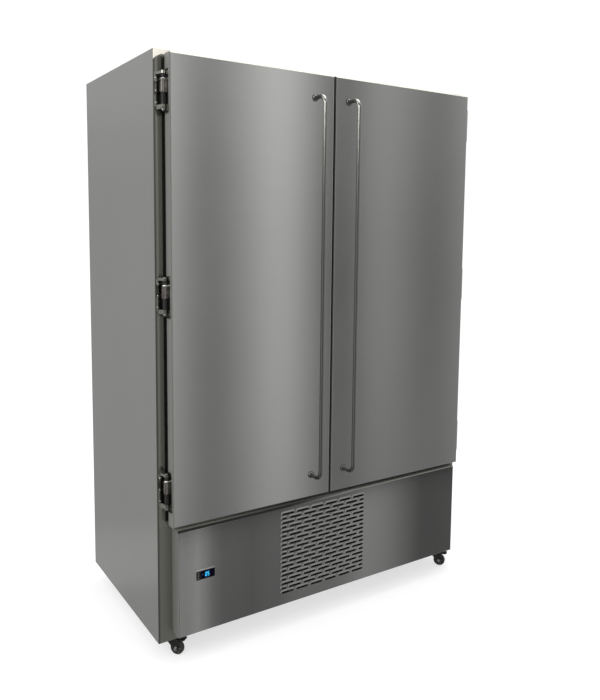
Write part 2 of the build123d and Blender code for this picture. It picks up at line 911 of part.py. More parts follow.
def fan(diameter, centre):
    # Hub on its shaft with pitched blades that end on the fan's circle
    x, y, z = centre
    hub_radius = diameter * fan_hub_share / 2
    half_chord = fan_chord_share * diameter / 2
    half_sheet = fan_blade_thickness / 2
    wheel = cylinder((0, -fan_depth / 2, 0), hub_radius, fan_depth, (0, 1, 0))
    for number in range(fan_blades):
        length = (hub_radius * fan_root_share, diameter)
        blade = block((-half_chord, half_chord), (-half_sheet, half_sheet), length)
        wheel += Rot(0, number * 360 / fan_blades, 0) * Rot(0, 0, fan_pitch) * blade
    wheel &= cylinder((0, -fan_depth / 2, 0), diameter / 2, fan_depth, (0, 1, 0))
    wheel -= cylinder((0, -fan_depth, 0), shaft_diameter / 2 + running_clearance, 2 * fan_depth, (0, 1, 0))
    return Pos(x, y, z) * wheel


def fan_motor(diameter, centre, plate_y):
    # Motor on a folded strap that stands off the plate behind the fan
    x, y, z = centre
    bar_y = y + fan_depth / 2 + fan_set
    half = diameter / 2 + 2 * fan_clearance
    mid = arm_sheet / 2
    points = [(plate_y, z - half), (bar_y + mid, z - half), (bar_y + mid, z + half), (plate_y, z + half)]
    strap = folded(points, across(x - arm_width / 2), arm_width, arm_sheet)
    motor = cylinder((x, bar_y, z), motor_diameter / 2, motor_length, (0, 1, 0))
    motor = chamfer(motor.edges().sort_by(Axis.Y)[-1], motor_edge)
    front = y - fan_depth / 2 - fan_set / 2
    shaft = cylinder((x, front, z), shaft_diameter / 2, bar_y + arm_sheet - front, (0, 1, 0))
    return strap + motor + shaft


def finned_coil(x_limits, y_limits, z_limits):
    # Block of tubing with upright fins that stand out of its front
    body = block(x_limits, (y_limits[0] + fin_rise, y_limits[1]), z_limits)
    count = int((x_limits[1] - x_limits[0] - fin_sheet) / fin_pitch)
    middle = sum(x_limits) / 2
    for number in range(count + 1):
        x = middle + (number - count / 2) * fin_pitch
        body += block((x - fin_sheet / 2, x + fin_sheet / 2), y_limits, z_limits)
    return body


# Cooling unit

unit_front_y = inner_back_y - evaporator_depth
unit_bottom_z = ceiling_z - evaporator_height
unit_fan_z = (ceiling_z + unit_bottom_z + evaporator_chamfer) / 2
unit_fan_centre = (0, unit_front_y + evaporator_sheet + fan_set + fan_depth / 2, unit_fan_z)


def evaporator_cover():
    mid = evaporator_sheet / 2
    front = unit_front_y + mid
    low = unit_bottom_z + mid
    points = [
        (front + hem, ceiling_z - mid),
        (front, ceiling_z - mid),
        (front, low + evaporator_chamfer),
        (front + evaporator_chamfer, low),
        (inner_back_y - liner_corner, low),
    ]
    half = evaporator_width / 2
    cover = folded(points, across(-half), 2 * half, evaporator_sheet)
    side_points = [
        (unit_front_y, ceiling_z),
        (unit_front_y, unit_bottom_z + evaporator_chamfer),
        (unit_front_y + evaporator_chamfer, unit_bottom_z),
        (inner_back_y - liner_corner, unit_bottom_z),
        (inner_back_y - liner_corner, ceiling_z),
    ]
    cheek = extrude(across(-half) * make_face(Polyline(*side_points, close=True)), evaporator_sheet)
    notch_y = (unit_front_y - bend, unit_front_y + 2 * bend)
    cheek -= block((-half - bend, half), notch_y, (ceiling_z - bend, ceiling_z + bend))
    cover += cheek + Pos(2 * half - evaporator_sheet, 0, 0) * cheek
    hole = evaporator_fan_diameter / 2 + fan_clearance
    return cover - cylinder((0, unit_front_y - bend, unit_fan_z), hole, 2 * bend, (0, 1, 0))


def drip_tray():
    # Shallow pan hung under the cover
    half = evaporator_width / 2 - drip_tray_overhang
    y_limits = (unit_front_y + evaporator_chamfer + drip_tray_overhang, inner_back_y - liner_corner)
    z_limits = (unit_bottom_z - drip_tray_height, unit_bottom_z)
    pan = block((-half, half), y_limits, z_limits)
    pan = fillet(pan.faces().sort_by(Axis.Z)[0].edges(), bend)
    inner = block(
        (-half + evaporator_sheet, half - evaporator_sheet),
        inset(y_limits, evaporator_sheet),
        (z_limits[0] + evaporator_sheet, z_limits[1] + 1),
    )
    return pan - fillet(inner.faces().sort_by(Axis.Z)[0].edges(), bend - evaporator_sheet)


# Condensing unit

coil_front_y = face_y + condenser_set
coil_back_y = coil_front_y + condenser_depth
shroud_back_y = coil_back_y + shroud_depth
condenser_x = (grille_x - condenser_width / 2, grille_x + condenser_width / 2)
condenser_z = (bay_floor_z, bay_floor_z + condenser_height)
condenser_fan_centre = (grille_x, shroud_back_y + fan_set + fan_depth / 2, sum(condenser_z) / 2)


def condenser_shroud():
    # Open box from the coil to a back plate with the round hole of the fan
    x_limits = condenser_x
    z_limits = condenser_z
    shroud = block(x_limits, (coil_back_y, shroud_back_y), z_limits)
    hollow_y = (coil_back_y - shroud_sheet, shroud_back_y - shroud_sheet)
    shroud -= block(inset(x_limits, shroud_sheet), hollow_y, inset(z_limits, shroud_sheet))
    hole = condenser_fan_diameter / 2 + fan_clearance
    return shroud - cylinder((grille_x, coil_back_y, sum(z_limits) / 2), hole, 2 * shroud_depth, (0, 1, 0))


def compressor():
    # Welded shell with a dome at each end, drawn as (radius, height) and turned, on a flat foot
    y = face_y + compressor_set
    low = bay_floor_z + compressor_foot
    high = low + compressor_body
    foot_x = (compressor_x - compressor_foot_span / 2, compressor_x + compressor_foot_span / 2)
    foot_y = (y - compressor_foot_depth / 2, y + compressor_foot_depth / 2)
    foot = block(foot_x, foot_y, (bay_floor_z, low))
    foot = fillet(foot.edges().filter_by(Axis.Z), compressor_foot)
    flat = compressor_diameter / 2 - compressor_dome
    upper = []
    for step in range(compressor_dome_steps + 1):
        angle = radians(90 * step / compressor_dome_steps)
        upper.append((flat + compressor_dome * cos(angle), high - compressor_dome * (1 - sin(angle))))
    lower = [(radius, low + high - height) for radius, height in reversed(upper)]
    outline = Polyline((0, low), *lower, *upper, (0, high), close=True)
    shell = Pos(compressor_x, y, 0) * revolve(Plane.XZ * make_face(outline), Axis.Z)
    seam = (compressor_x, y, low + (compressor_body - compressor_foot) / 2)
    return foot + shell + cylinder(seam, compressor_diameter / 2 + skin, compressor_foot)


# Cable gland

def cable_gland():
    # Hexagon and bevelled cap outside, thread through the panel and a nut inside
    z = base_z + gland_rise
    inside_y = back_y - skin - gland_nut
    through = skin + gland_nut
    cap_y = back_y + gland_flange
    hexagon = RegularPolygon(gland_hex / 2, 6, major_radius=False)
    body = extrude(facing_back(gland_x, back_y, z) * hexagon, gland_flange)
    cap = cylinder((gland_x, cap_y, z), gland_thread / 2, gland_reach - gland_flange, (0, 1, 0))
    body += chamfer(cap.edges().sort_by(Axis.Y)[-1], gland_edge)
    body += cylinder((gland_x, inside_y, z), gland_thread / 2, through, (0, 1, 0))
    body -= cylinder((gland_x, inside_y - through, z), gland_bore / 2, gland_reach + 3 * through, (0, 1, 0))
    nut = extrude(facing_back(gland_x, inside_y, z) * hexagon, gland_nut)
    nut -= cylinder((gland_x, inside_y, z), gland_thread / 2, gland_nut, (0, 1, 0))
    return body, nut


for side, hand in ((-1, "left"), (1, "right")):
    save(side_panel(side), "side_panel_" + hand)
save(top_panel(), "top_panel")
save(back_panel(), "back_panel")
save(deck_panel(), "deck_panel")
save(base_frame(), "base_frame")
for name, piece in insulation_pieces().items():
    save(piece, name)
save(inner_liner(), "inner_liner")
save(centre_mullion(), "centre_mullion")

for side, hand, handle_inset in ((-1, "left", left_handle_inset), (1, "right", right_handle_inset)):
    free_edge = meeting_x + side * door_gap / 2
    save(door_skin(side), hand + "_door_skin")
    save(door_core(side, skin) + tray_form(side, -skin / 2), hand + "_door_insulation")
    save(door_inner_panel(side), hand + "_door_inner_panel")
    save(door_gasket(side), hand + "_door_gasket")
    save(door_handle(free_edge + side * handle_inset), hand + "_door_handle")
    save(Compound([hinge_frame_leaf(side, z) for z in hinge_levels]), hand + "_hinge_frame_leaves")
    save(Compound([hinge_door_leaf(side, z) for z in hinge_levels]), hand + "_hinge_door_leaves")
    save(Compound([s for z in hinge_levels for s in hinge_pin_set(side, z)]), hand + "_hinge_pins")

save(fascia_panel(), "fascia_panel")
save(controller_body(), "controller_body")
save(controller_display(), "controller_display")
for z, name in zip(key_levels, ("key_down", "key_set", "key_up")):
    save(controller_key(z), name)

places = [(side, hand, end) for end in ("front", "rear") for side, hand in ((-1, "left"), (1, "right"))]
plates = [castor_place(side, end) * castor_plate_piece() for side, hand, end in places]
save(Compound(plates), "castor_plates")
for side, hand, end in places:
    stand = castor_place(side, end) * turned
    braked = end == "front"
    tail = end + "_" + hand
    save(Compound([stand * castor_fork(braked), stand * castor_axle()]), "castor_fork_" + tail)
    save(stand * castor_wheel(), "castor_wheel_" + tail)
    if braked:
        save(stand * castor_brake(), "castor_brake_" + tail)

uprights = [at_upright(place) for side in (-1, 1) for place in upright_places(side)]
save(Compound([place * upright() for place in uprights]), "shelf_uprights")
save(Compound([place * clip(top - shelf_sheet) for place in uprights for top in shelf_tops]), "shelf_clips")
for number, top in enumerate(shelf_tops, 1):
    save(shelf(-1, top), f"shelf_left_{number}")
    save(shelf(1, top), f"shelf_right_{number}")

coil_half = evaporator_coil_length / 2
coil_y = (inner_back_y - liner_corner - evaporator_coil_depth, inner_back_y - liner_corner)
coil_z = (ceiling_z - evaporator_coil_height, ceiling_z)
evaporator_coil = finned_coil((-coil_half, coil_half), coil_y, coil_z)
unit_motor = fan_motor(evaporator_fan_diameter, unit_fan_centre, unit_front_y + evaporator_sheet)
save(Compound([evaporator_cover(), evaporator_coil, unit_motor, drip_tray()]), "evaporator_unit")
save(fan(evaporator_fan_diameter, unit_fan_centre), "evaporator_fan")

coil = finned_coil(condenser_x, (coil_front_y, coil_back_y), condenser_z)
motor = fan_motor(condenser_fan_diameter, condenser_fan_centre, shroud_back_y)
save(Compound([coil, condenser_shroud(), motor]), "condenser_unit")
save(fan(condenser_fan_diameter, condenser_fan_centre), "condenser_fan")
save(compressor(), "compressor")
save(Compound(cable_gland()), "cable_gland")
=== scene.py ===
import json
import math

import bmesh
import bpy
from mathutils import Matrix, Vector


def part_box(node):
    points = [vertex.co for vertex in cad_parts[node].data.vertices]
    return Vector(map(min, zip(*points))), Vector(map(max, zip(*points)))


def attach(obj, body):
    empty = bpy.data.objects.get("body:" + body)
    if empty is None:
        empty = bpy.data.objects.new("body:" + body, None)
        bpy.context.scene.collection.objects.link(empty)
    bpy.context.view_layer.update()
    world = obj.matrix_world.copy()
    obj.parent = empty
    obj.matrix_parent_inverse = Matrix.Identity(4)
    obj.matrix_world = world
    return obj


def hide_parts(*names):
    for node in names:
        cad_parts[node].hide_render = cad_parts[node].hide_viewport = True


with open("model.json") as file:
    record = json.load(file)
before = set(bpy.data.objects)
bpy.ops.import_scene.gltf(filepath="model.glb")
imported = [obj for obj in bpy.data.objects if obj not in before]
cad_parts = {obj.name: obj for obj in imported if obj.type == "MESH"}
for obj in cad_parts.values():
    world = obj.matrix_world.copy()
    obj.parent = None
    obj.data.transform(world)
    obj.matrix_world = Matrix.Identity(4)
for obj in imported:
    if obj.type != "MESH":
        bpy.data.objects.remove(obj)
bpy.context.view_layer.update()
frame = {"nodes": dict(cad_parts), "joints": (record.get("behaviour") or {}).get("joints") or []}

mm = 0.001
nodes = frame["nodes"]
joints = {joint["name"]: joint for joint in frame["joints"]}
hands = {"left": -1, "right": 1}  # and the side of X that each is on
wheelPlaces = [(end, hand) for end in ("front", "rear") for hand in hands]
forward = (0, -1, 0)
upright = Matrix.Identity(4)
print("frame loaded:", len(nodes), "nodes")


def lengths(given):
    # millimetres, alone or nested, to metres
    if isinstance(given, dict):
        return {name: lengths(value) for name, value in given.items()}
    if isinstance(given, tuple):
        return tuple(lengths(value) for value in given)
    return given * mm


# materials

def feed(tree, node, inputs):
    # a socket is linked, any other value is set on the node itself
    for name, value in inputs.items():
        if isinstance(value, bpy.types.NodeSocket):
            tree.links.new(value, node.inputs[name])
        else:
            node.inputs[name].default_value = value
    return node


def newNode(tree, kind, inputs, **settings):
    node = tree.nodes.new("ShaderNode" + kind)
    for name, value in settings.items():
        setattr(node, name, value)
    return feed(tree, node, inputs)


def newMaterial(name):
    made = bpy.data.materials.new(name)
    made.use_nodes = True
    tree = made.node_tree
    tree.nodes.clear()
    shader = newNode(tree, "BsdfPrincipled", {})
    newNode(tree, "OutputMaterial", {"Surface": shader.outputs["BSDF"]})
    return made, tree, shader


def coordinate(tree, kind="Object"):
    return newNode(tree, "TexCoord", {}).outputs[kind]


def axisOf(tree, axis):
    return newNode(tree, "SeparateXYZ", {"Vector": coordinate(tree)}).outputs[axis]


def noiseAt(tree, stretch, scale, detail, rough):
    # a stretch turns noise into grain
    where = newNode(tree, "Mapping", {"Scale": stretch, "Vector": coordinate(tree)})
    noise = newNode(tree, "TexNoise", {"Scale": scale, "Detail": detail, "Roughness": rough,
                                       "Vector": where.outputs["Vector"]})
    return noise.outputs["Fac"]


def spread(tree, value, low, high, fromLow=0.3, fromHigh=0.7):
    ranged = newNode(tree, "MapRange", {"Value": value, "From Min": fromLow, "From Max": fromHigh,
                                        "To Min": low, "To Max": high})
    return ranged.outputs["Result"]


def product(tree, first, second):
    return newNode(tree, "Math", {0: first, 1: second}, operation="MULTIPLY").outputs[0]


def grey(value):
    return value if isinstance(value, tuple) else (value, value, value)


def shade(tree, value, dark, light):
    ramp = newNode(tree, "ValToRGB", {"Fac": value})
    for element, place, colour in zip(ramp.color_ramp.elements, (0.25, 0.75), (dark, light)):
        element.position = place
        element.color = (*grey(colour), 1)
    return ramp.outputs["Color"]


def levelRamp(tree, source, stops):
    # grey levels at places from 0 to 1
    ramp = newNode(tree, "ValToRGB", {"Fac": source})
    elements = ramp.color_ramp.elements
    elements.remove(elements[-1])
    for number, (place, level) in enumerate(sorted(stops)):
        element = elements.new(place) if number else elements[0]
        element.position = place
        element.color = (*grey(level), 1)
    return ramp.outputs["Color"]


def bumped(tree, shader, *layers):
    # each layer is a height, its strength and its depth in metres
    normal = {}
    for height, strength, depth in layers:
        bump = newNode(tree, "Bump", {"Height": height, "Strength": strength, "Distance": depth, **normal})
        normal = {"Normal": bump.outputs["Normal"]}
    feed(tree, shader, normal)


def facingMask(tree, direction, start, full):
    # 1 on the faces that look along the direction, 0 on the others
    looks = {0: coordinate(tree, "Normal"), 1: direction}
    along = newNode(tree, "VectorMath", looks, operation="DOT_PRODUCT")
    return spread(tree, along.outputs["Value"], 0, 1, start, full)


def blend(tree, mask, plain, other):
    # the plain value, or the other one where the mask is 1
    if isinstance(other, tuple):
        return newNode(tree, "Mix", {0: mask, 6: plain, 7: (*other, 1)}, data_type="RGBA").outputs[2]
    return newNode(tree, "Mix", {0: mask, 2: plain, 3: other}, data_type="FLOAT").outputs[0]


def toned(tree, colour, axis, stops):
    # a slow change of tone along an axis; each stop is a place and a factor
    first, last = stops[0][0], stops[-1][0]
    peak = max(level for place, level in stops)
    shares = [((place - first) / (last - first), level / peak) for place, level in stops]
    tones = levelRamp(tree, spread(tree, axisOf(tree, axis), 0, 1, first, last), shares)
    scaled = newNode(tree, "VectorMath", {0: tones, "Scale": peak}, operation="SCALE")
    changed = newNode(tree, "VectorMath", {0: colour, 1: scaled.outputs["Vector"]}, operation="MULTIPLY")
    return changed.outputs["Vector"]


steelGrain = {
    "tone": 0.05,
    "metal": 1.0,
    "edges": (),
    "stretch": 0.0,
    "brushTurn": 0.25,
    "grainNoise": (1.0, 3.0, 0.6),
    "grainShare": 0.45,
    "cloudNoise": ((1.0, 1.0, 0.6), 1.6, 4.0, 0.55),
    "cloudSpan": (0.1, 0.5),
    "mixedSpan": (0.15, 0.85),
    "waveNoise": ((1.0, 1.0, 0.7), 1.1, 1.0, 0.4),
    "waveDepth": 4 * mm,
    "bump": 0.06,
    "bumpDepth": 0.4 * mm,
}


def brushedSteel(name, look):
    s = {**steelGrain, **look}
    made, tree, shader = newMaterial(name)
    grain = noiseAt(tree, s["grain"], *s["grainNoise"])
    cloud = spread(tree, noiseAt(tree, *s["cloudNoise"]), *s["cloudSpan"])
    mixed = newNode(tree, "Math", {0: grain, 1: s["grainShare"], 2: cloud}, operation="MULTIPLY_ADD")
    mixed = mixed.outputs[0]
    dark, light = (tuple(c * (1 + change) for c in grey(s["tint"])) for change in (-s["tone"], s["tone"]))
    colour = shade(tree, mixed, dark, light)
    for key, axis in (("across", "X"), ("upward", "Z")):
        if key in s:
            colour = toned(tree, colour, axis, s[key])
    roughness = spread(tree, mixed, *s["rough"], *s["mixedSpan"])
    metal = s["metal"]
    # the facing tones listed under edges, most of them painted shade and painted highlights
    for facing, reach, tint, rough, share, fades in s["edges"]:
        mask = facingMask(tree, facing, *reach)
        for axis, none, full in fades:
            mask = product(tree, mask, spread(tree, axisOf(tree, axis), 0, 1, none, full))
        colour = blend(tree, mask, colour, grey(tint))
        roughness = blend(tree, mask, roughness, rough)
        metal = blend(tree, mask, metal, share)
    feed(tree, shader, {"Base Color": colour, "Roughness": roughness, "Metallic": metal})
    if s["stretch"]:
        brush = newNode(tree, "Tangent", {}, direction_type="RADIAL", axis="Z").outputs["Tangent"]
        feed(tree, shader, {"Tangent": brush, "Anisotropic": s["stretch"],
                            "Anisotropic Rotation": s["brushTurn"]})
    wave = noiseAt(tree, *s["waveNoise"])
    bumped(tree, shader, (wave, s["wave"], s["waveDepth"]), (grain, s["bump"], s["bumpDepth"]))
    return made


even = (1, 1, 1)
clouded = {
    "plastic": {"metal": 0.0, "pits": 1600.0, "pitNoise": (2.0, 0.5), "cloud": 30.0, "bump": 0.15,
                "gloss": 0.4},
    "metal": {"metal": 1.0, "pits": 900.0, "pitNoise": (3.0, 0.6), "cloud": 45.0, "bump": 0.12,
              "gloss": 0.5},
}


def cloudedFinish(name, kind, look):
    # fine pits and a cloudy gloss, on mouldings and on plated castings
    s = {"coat": 0.0, **clouded[kind], **look}
    made, tree, shader = newMaterial(name + "_" + kind)
    cloud = noiseAt(tree, even, s["cloud"], 3.0, 0.5)
    feed(tree, shader, {
        "Base Color": shade(tree, cloud, s["dark"], s["light"]),
        "Roughness": spread(tree, cloud, *s["rough"]),
        "Metallic": s["metal"],
        "Specular IOR Level": s["gloss"],
        "Coat Weight": s["coat"],
    })
    bumped(tree, shader, (noiseAt(tree, even, s["pits"], *s["pitNoise"]), s["bump"], 0.2 * mm))
    return made


def spangledZinc(name, look):
    # hot-dip zinc: flat crystals of differing brightness
    made, tree, shader = newMaterial(name)
    cells = newNode(tree, "TexVoronoi", {"Scale": look["crystals"], "Vector": coordinate(tree)})
    split = newNode(tree, "SeparateColor", {"Color": cells.outputs["Color"]})
    feed(tree, shader, {
        "Base Color": shade(tree, split.outputs[0], look["dark"], look["light"]),
        "Roughness": spread(tree, split.outputs[1], *look["rough"], 0, 1),
        "Metallic": 1.0,
    })
    bumped(tree, shader, (noiseAt(tree, even, look["pits"], 3.0, 0.6), look["bump"], 0.3 * mm))
    return made


def rigidFoam(name, look):
    made, tree, shader = newMaterial(name)
    cells = noiseAt(tree, even, look["cells"], 4.0, 0.7)
    feed(tree, shader, {"Base Color": shade(tree, cells, look["dark"], look["light"]), "Roughness": 0.9})
    bumped(tree, shader, (cells, look["bump"], 0.8 * mm))
    return made


def litFinish(name, look):
    made, tree, shader = newMaterial(name)
    glow = noiseAt(tree, even, 500.0, 1.0, 0.5)
    feed(tree, shader, {
        "Emission Color": shade(tree, glow, look["dark"], look["light"]),
        "Emission Strength": look["power"],
        "Base Color": (0.01, 0.03, 0.04, 1),
        "Roughness": 0.3,
    })
    return made


def facingTone(facing, reach, tint, rough, metal, *fades):
    # another tint, roughness and metalness on the faces that look one way; most uses below are painted shade
    # and painted highlights
    # a fade is an axis, its place with none of the finish and its place with all of it
    return facing, reach, tint, rough, metal, fades


toLeft, toFront, toTop = (-1, 0, 0), (0, -1, 0), (0, 0, 1)
flatFaces = (0.6, 0.8)
# painted highlight: a cream band on the doors' rounded top edges, where the light falls
paintedTopHighlight = facingTone(toTop, (0.05, 0.35), (0.7, 0.67, 0.59), 0.5, 0.0)
upperFace = facingTone(toTop, (0.93, 0.99), (0.4, 0.4, 0.39), 0.3, 1.0)
# painted shade lines: where the stiles meet the sides, along the doors' meeting edges, and a painted shadow
# of the doors along the fascia's top edge
paintedFoldShade = [facingTone(toFront, (0.1, 0.3), (0.07, 0.07, 0.06), 0.4, 0.5, ("X", side * 0.692, side * 0.696))
             for side in (-1, 1)]
paintedMeetingShade = [facingTone((side, 0, 0), (0.2, 0.5), (0.05, 0.05, 0.048), 0.5, 0.2,
                     ("X", -0.1, -0.09), ("X", 0.1, 0.09)) for side in (-1, 1)]
paintedRimShadow = [facingTone(facing, (0.0, 0.1), (0.008, 0.008, 0.007), 0.7, 0.0, fade, ("X", 0.1, -0.2))
            for facing, fade in ((toFront, ("Z", 0.477, 0.479)), (toTop, ("Y", -0.3555, -0.3575)))]
steelLooks = {
    # door: its left-facing sides and rounded front corners darker, painted shade
    "door": {"tint": (0.62, 0.62, 0.61), "rough": (0.14, 0.18), "grain": (2, 2, 900), "stretch": 0.9,
             "tone": 0.04, "wave": 0.03,
             "edges": [facingTone(toLeft, (0.25, 0.6), (0.21, 0.21, 0.2), 0.5, 0.2),
                       facingTone((-0.707, -0.707, 0), (0.86, 0.95), (0.12, 0.12, 0.11), 0.5, 0.2),
                       *paintedMeetingShade, paintedTopHighlight, upperFace]},
    # body: the stiles' front faces darker and greener than the sides, painted shade; darker still below the
    # doors' bottom edge
    "body": {"tint": (0.46, 0.46, 0.445), "rough": (0.1, 0.13), "grain": (3, 3, 700), "tone": 0.035,
             "metal": 0.85, "wave": 0.04,
             "edges": [facingTone(toFront, flatFaces, (0.3, 0.3, 0.265), 0.17, 1.0),
                       facingTone(toFront, flatFaces, (0.17, 0.17, 0.15), 0.3, 0.6, ("Z", 0.5, 0.49)), *paintedFoldShade]},
    # top: the top panel cream on its front and sides, a painted highlight; its upward faces stay steel
    "top": {"tint": (0.8, 0.79, 0.74), "rough": (0.4, 0.5), "grain": (3, 3, 700), "tone": 0.03, "metal": 0.4,
            "wave": 0.04, "edges": [facingTone(toFront, (0.1, 0.4), (0.66, 0.63, 0.57), 0.5, 0.0), upperFace]},
    # corner: the cream of the painted light on the stiles' top ends
    "corner": {"tint": (0.76, 0.73, 0.65), "rough": (0.4, 0.5), "grain": (3, 3, 700), "tone": 0.02,
               "metal": 0.0, "wave": 0.0},
    # fascia: its left side and rounded top edge darker, painted shade; a lighter band on the top edge fading
    # out to the right, painted light
    "fascia": {"tint": (0.6, 0.6, 0.59), "rough": (0.14, 0.19), "grain": (2, 2, 900), "stretch": 0.8,
               "wave": 0.03,
               "edges": [facingTone(toLeft, flatFaces, (0.17, 0.17, 0.16), 0.5, 0.2),
                         facingTone(toTop, (0.1, 0.4), (0.2, 0.2, 0.18), 0.5, 0.2),
                         facingTone(toTop, (0.8, 0.95), (0.36, 0.36, 0.32), 0.5, 0.0, ("X", -0.2, -0.5)),
                         *paintedRimShadow],
               # painted shade darkening the fascia towards its top under the doors, and painted reflection
               # bands across it
               "upward": ((0.1, 1.0), (0.36, 0.97), (0.42, 0.9), (0.455, 0.78), (0.48, 0.62), (0.49, 0.6)),
               "across": ((-0.66, 1.02), (-0.62, 1.12), (-0.575, 1.52), (-0.545, 1.26), (-0.515, 0.9),
                          (-0.48, 0.68), (-0.42, 0.55), (-0.36, 0.43), (-0.24, 0.42), (0.16, 1.35),
                          (0.29, 1.05), (0.46, 0.5), (0.66, 0.45))},
    # hood: the left-facing ends lighter, a painted highlight
    "hood": {"tint": (0.36, 0.36, 0.345), "rough": (0.26, 0.34), "grain": (3, 3, 500), "tone": 0.03,
             "wave": 0.0, "metal": 0.85, "edges": [facingTone(toLeft, (0.25, 0.6), (0.42, 0.42, 0.4), 0.4, 0.3)]},
    "inside": {"tint": (0.66, 0.66, 0.65), "rough": (0.3, 0.4), "grain": (3, 3, 500), "tone": 0.04,
               "wave": 0.05},
    "shelf": {"tint": (0.64, 0.64, 0.63), "rough": (0.28, 0.38), "grain": (2, 500, 2), "wave": 0.04},
    "handle": {"tint": (0.32, 0.32, 0.3), "rough": (0.16, 0.24), "grain": (400, 400, 3), "tone": 0.06,
               "wave": 0.0, "bump": 0.03},
}
plasticLooks = {
    "bezel": {"dark": 0.2, "light": 0.24, "rough": (0.3, 0.4), "gloss": 0.6},
    "facePlate": {"dark": 0.006, "light": 0.01, "rough": (0.5, 0.6), "gloss": 0.2},
    "key": {"dark": (0.018, 0.018, 0.017), "light": (0.028, 0.028, 0.027), "rough": (0.5, 0.6), "gloss": 0.2},
    "keyMark": {"dark": (0.6, 0.6, 0.58), "light": (0.7, 0.7, 0.68), "rough": (0.5, 0.6)},
    "window": {"dark": (0.0015, 0.001, 0.006), "light": (0.003, 0.002, 0.012), "rough": (0.08, 0.12),
               "gloss": 0.06, "bump": 0.02},
    "nylon": {"dark": 0.012, "light": 0.022, "rough": (0.4, 0.52)},
    # near black inside the grille slots and just below them: painted shade
    "paintedSlotShade": {"dark": 0.006, "light": 0.009, "rough": (0.6, 0.7), "gloss": 0.04},
    "pedal": {"dark": 0.012, "light": (0.024, 0.024, 0.023), "rough": (0.45, 0.6)},
    "tyre": {"dark": (0.016, 0.016, 0.015), "light": (0.04, 0.039, 0.036), "rough": (0.55, 0.75), "bump": 0.3,
             "pits": 900.0},
    "hub": {"dark": (0.09, 0.09, 0.088), "light": (0.13, 0.13, 0.125), "rough": (0.4, 0.5)},
    "gasket": {"dark": (0.028, 0.028, 0.027), "light": (0.045, 0.045, 0.043), "rough": (0.5, 0.62)},
    "fan": {"dark": 0.02, "light": 0.035, "rough": (0.4, 0.5)},
    "compressor": {"dark": 0.01, "light": 0.018, "rough": (0.22, 0.35), "coat": 0.3},
}
metalLooks = {
    "hinge": {"dark": (0.3, 0.3, 0.27), "light": (0.52, 0.52, 0.48), "rough": (0.1, 0.22), "bump": 0.25,
              "pits": 260.0},
    "hingeCover": {"dark": (0.26, 0.24, 0.225), "light": (0.42, 0.39, 0.37), "rough": (0.16, 0.28),
                   "bump": 0.25, "pits": 260.0},
    # a lighter copy of the hinge chrome for the caps on the housings: painted highlight
    "hingePaintedHighlight": {"dark": (0.66, 0.66, 0.64), "light": (0.8, 0.8, 0.78), "rough": (0.1, 0.2), "bump": 0.2,
                    "pits": 260.0},
    "screw": {"dark": (0.5, 0.5, 0.49), "light": (0.62, 0.62, 0.61), "rough": (0.2, 0.32), "bump": 0.05},
    "castor": {"dark": (0.05, 0.05, 0.048), "light": (0.1, 0.1, 0.096), "rough": (0.3, 0.45)},
    "pin": {"dark": 0.3, "light": 0.42, "rough": (0.2, 0.3), "bump": 0.05},
    "copper": {"dark": (0.55, 0.28, 0.16), "light": (0.72, 0.4, 0.26), "rough": (0.25, 0.4), "bump": 0.05},
    "fins": {"dark": (0.5, 0.5, 0.51), "light": (0.66, 0.66, 0.67), "rough": (0.3, 0.4), "bump": 0.1},
}
finish = {key: brushedSteel(key + "_steel", look) for key, look in steelLooks.items()}
for kind, looks in (("plastic", plasticLooks), ("metal", metalLooks)):
    for key, look in looks.items():
        finish[key] = cloudedFinish(key, kind, look)
finish["zinc"] = spangledZinc("galvanised_sheet", {
    "crystals": 120.0, "dark": (0.5, 0.52, 0.53), "light": (0.6, 0.62, 0.63), "rough": (0.38, 0.55),
    "pits": 240.0, "bump": 0.1})
finish["foam"] = rigidFoam("rigid_foam", {
    "cells": 420.0, "dark": (0.62, 0.5, 0.25), "light": (0.78, 0.68, 0.42), "bump": 0.5})
finish["digits"] = litFinish("lit_digits", {
    "dark": (0.01, 0.42, 0.9), "light": (0.05, 0.6, 1.0), "power": 1.5})
finish["symbol"] = litFinish("unlit_symbol", {
    "dark": (0.05, 0.045, 0.09), "light": (0.06, 0.05, 0.1), "power": 1.0})
print("materials:", len(finish))


# mesh helpers

def objectFrom(name, bm, material, angle):
    bmesh.ops.recalc_face_normals(bm, faces=bm.faces[:])
    mesh = bpy.data.meshes.new(name)
    bm.to_mesh(mesh)
    bm.free()
    made = bpy.data.objects.new(name, mesh)
    bpy.context.scene.collection.objects.link(made)
    mesh.materials.append(material)
    mesh.shade_smooth()
    if angle is not None:
        mesh.set_sharp_from_angle(angle=math.radians(angle))
    return made


def put(name, bm, look, body, slotName, *replaced, angle=35):
    # a finished piece on its body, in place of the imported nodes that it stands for
    made = objectFrom(name, bm, finish[look], angle)
    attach(made, body)
    if replaced:
        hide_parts(*replaced)
    return made


def basis(origin, zAxis, xAxis=None):
    # matrix whose Z runs along zAxis
    z = Vector(zAxis).normalized()
    x = Vector(xAxis) if xAxis is not None else (Vector((1, 0, 0)) if abs(z.x) < 0.9 else Vector((0, 1, 0)))
    y = z.cross(x).normalized()
    matrix = Matrix((y.cross(z).normalized(), y, z)).transposed().to_4x4()
    matrix.translation = Vector(origin)
    return matrix


def spin(degrees, axis="Z"):
    return Matrix.Rotation(math.radians(degrees), 4, axis)


def joinRings(bm, rings, closed):
    # rings of points joined in order; the last meets the first, or both ends are capped
    if closed:
        rings = rings + rings[:1]
    else:
        bm.faces.new(rings[0])
        bm.faces.new(rings[-1])
    for first, second in zip(rings, rings[1:]):
        for number in range(len(first)):
            after = (number + 1) % len(first)
            bm.faces.new((first[number], first[after], second[after], second[number]))


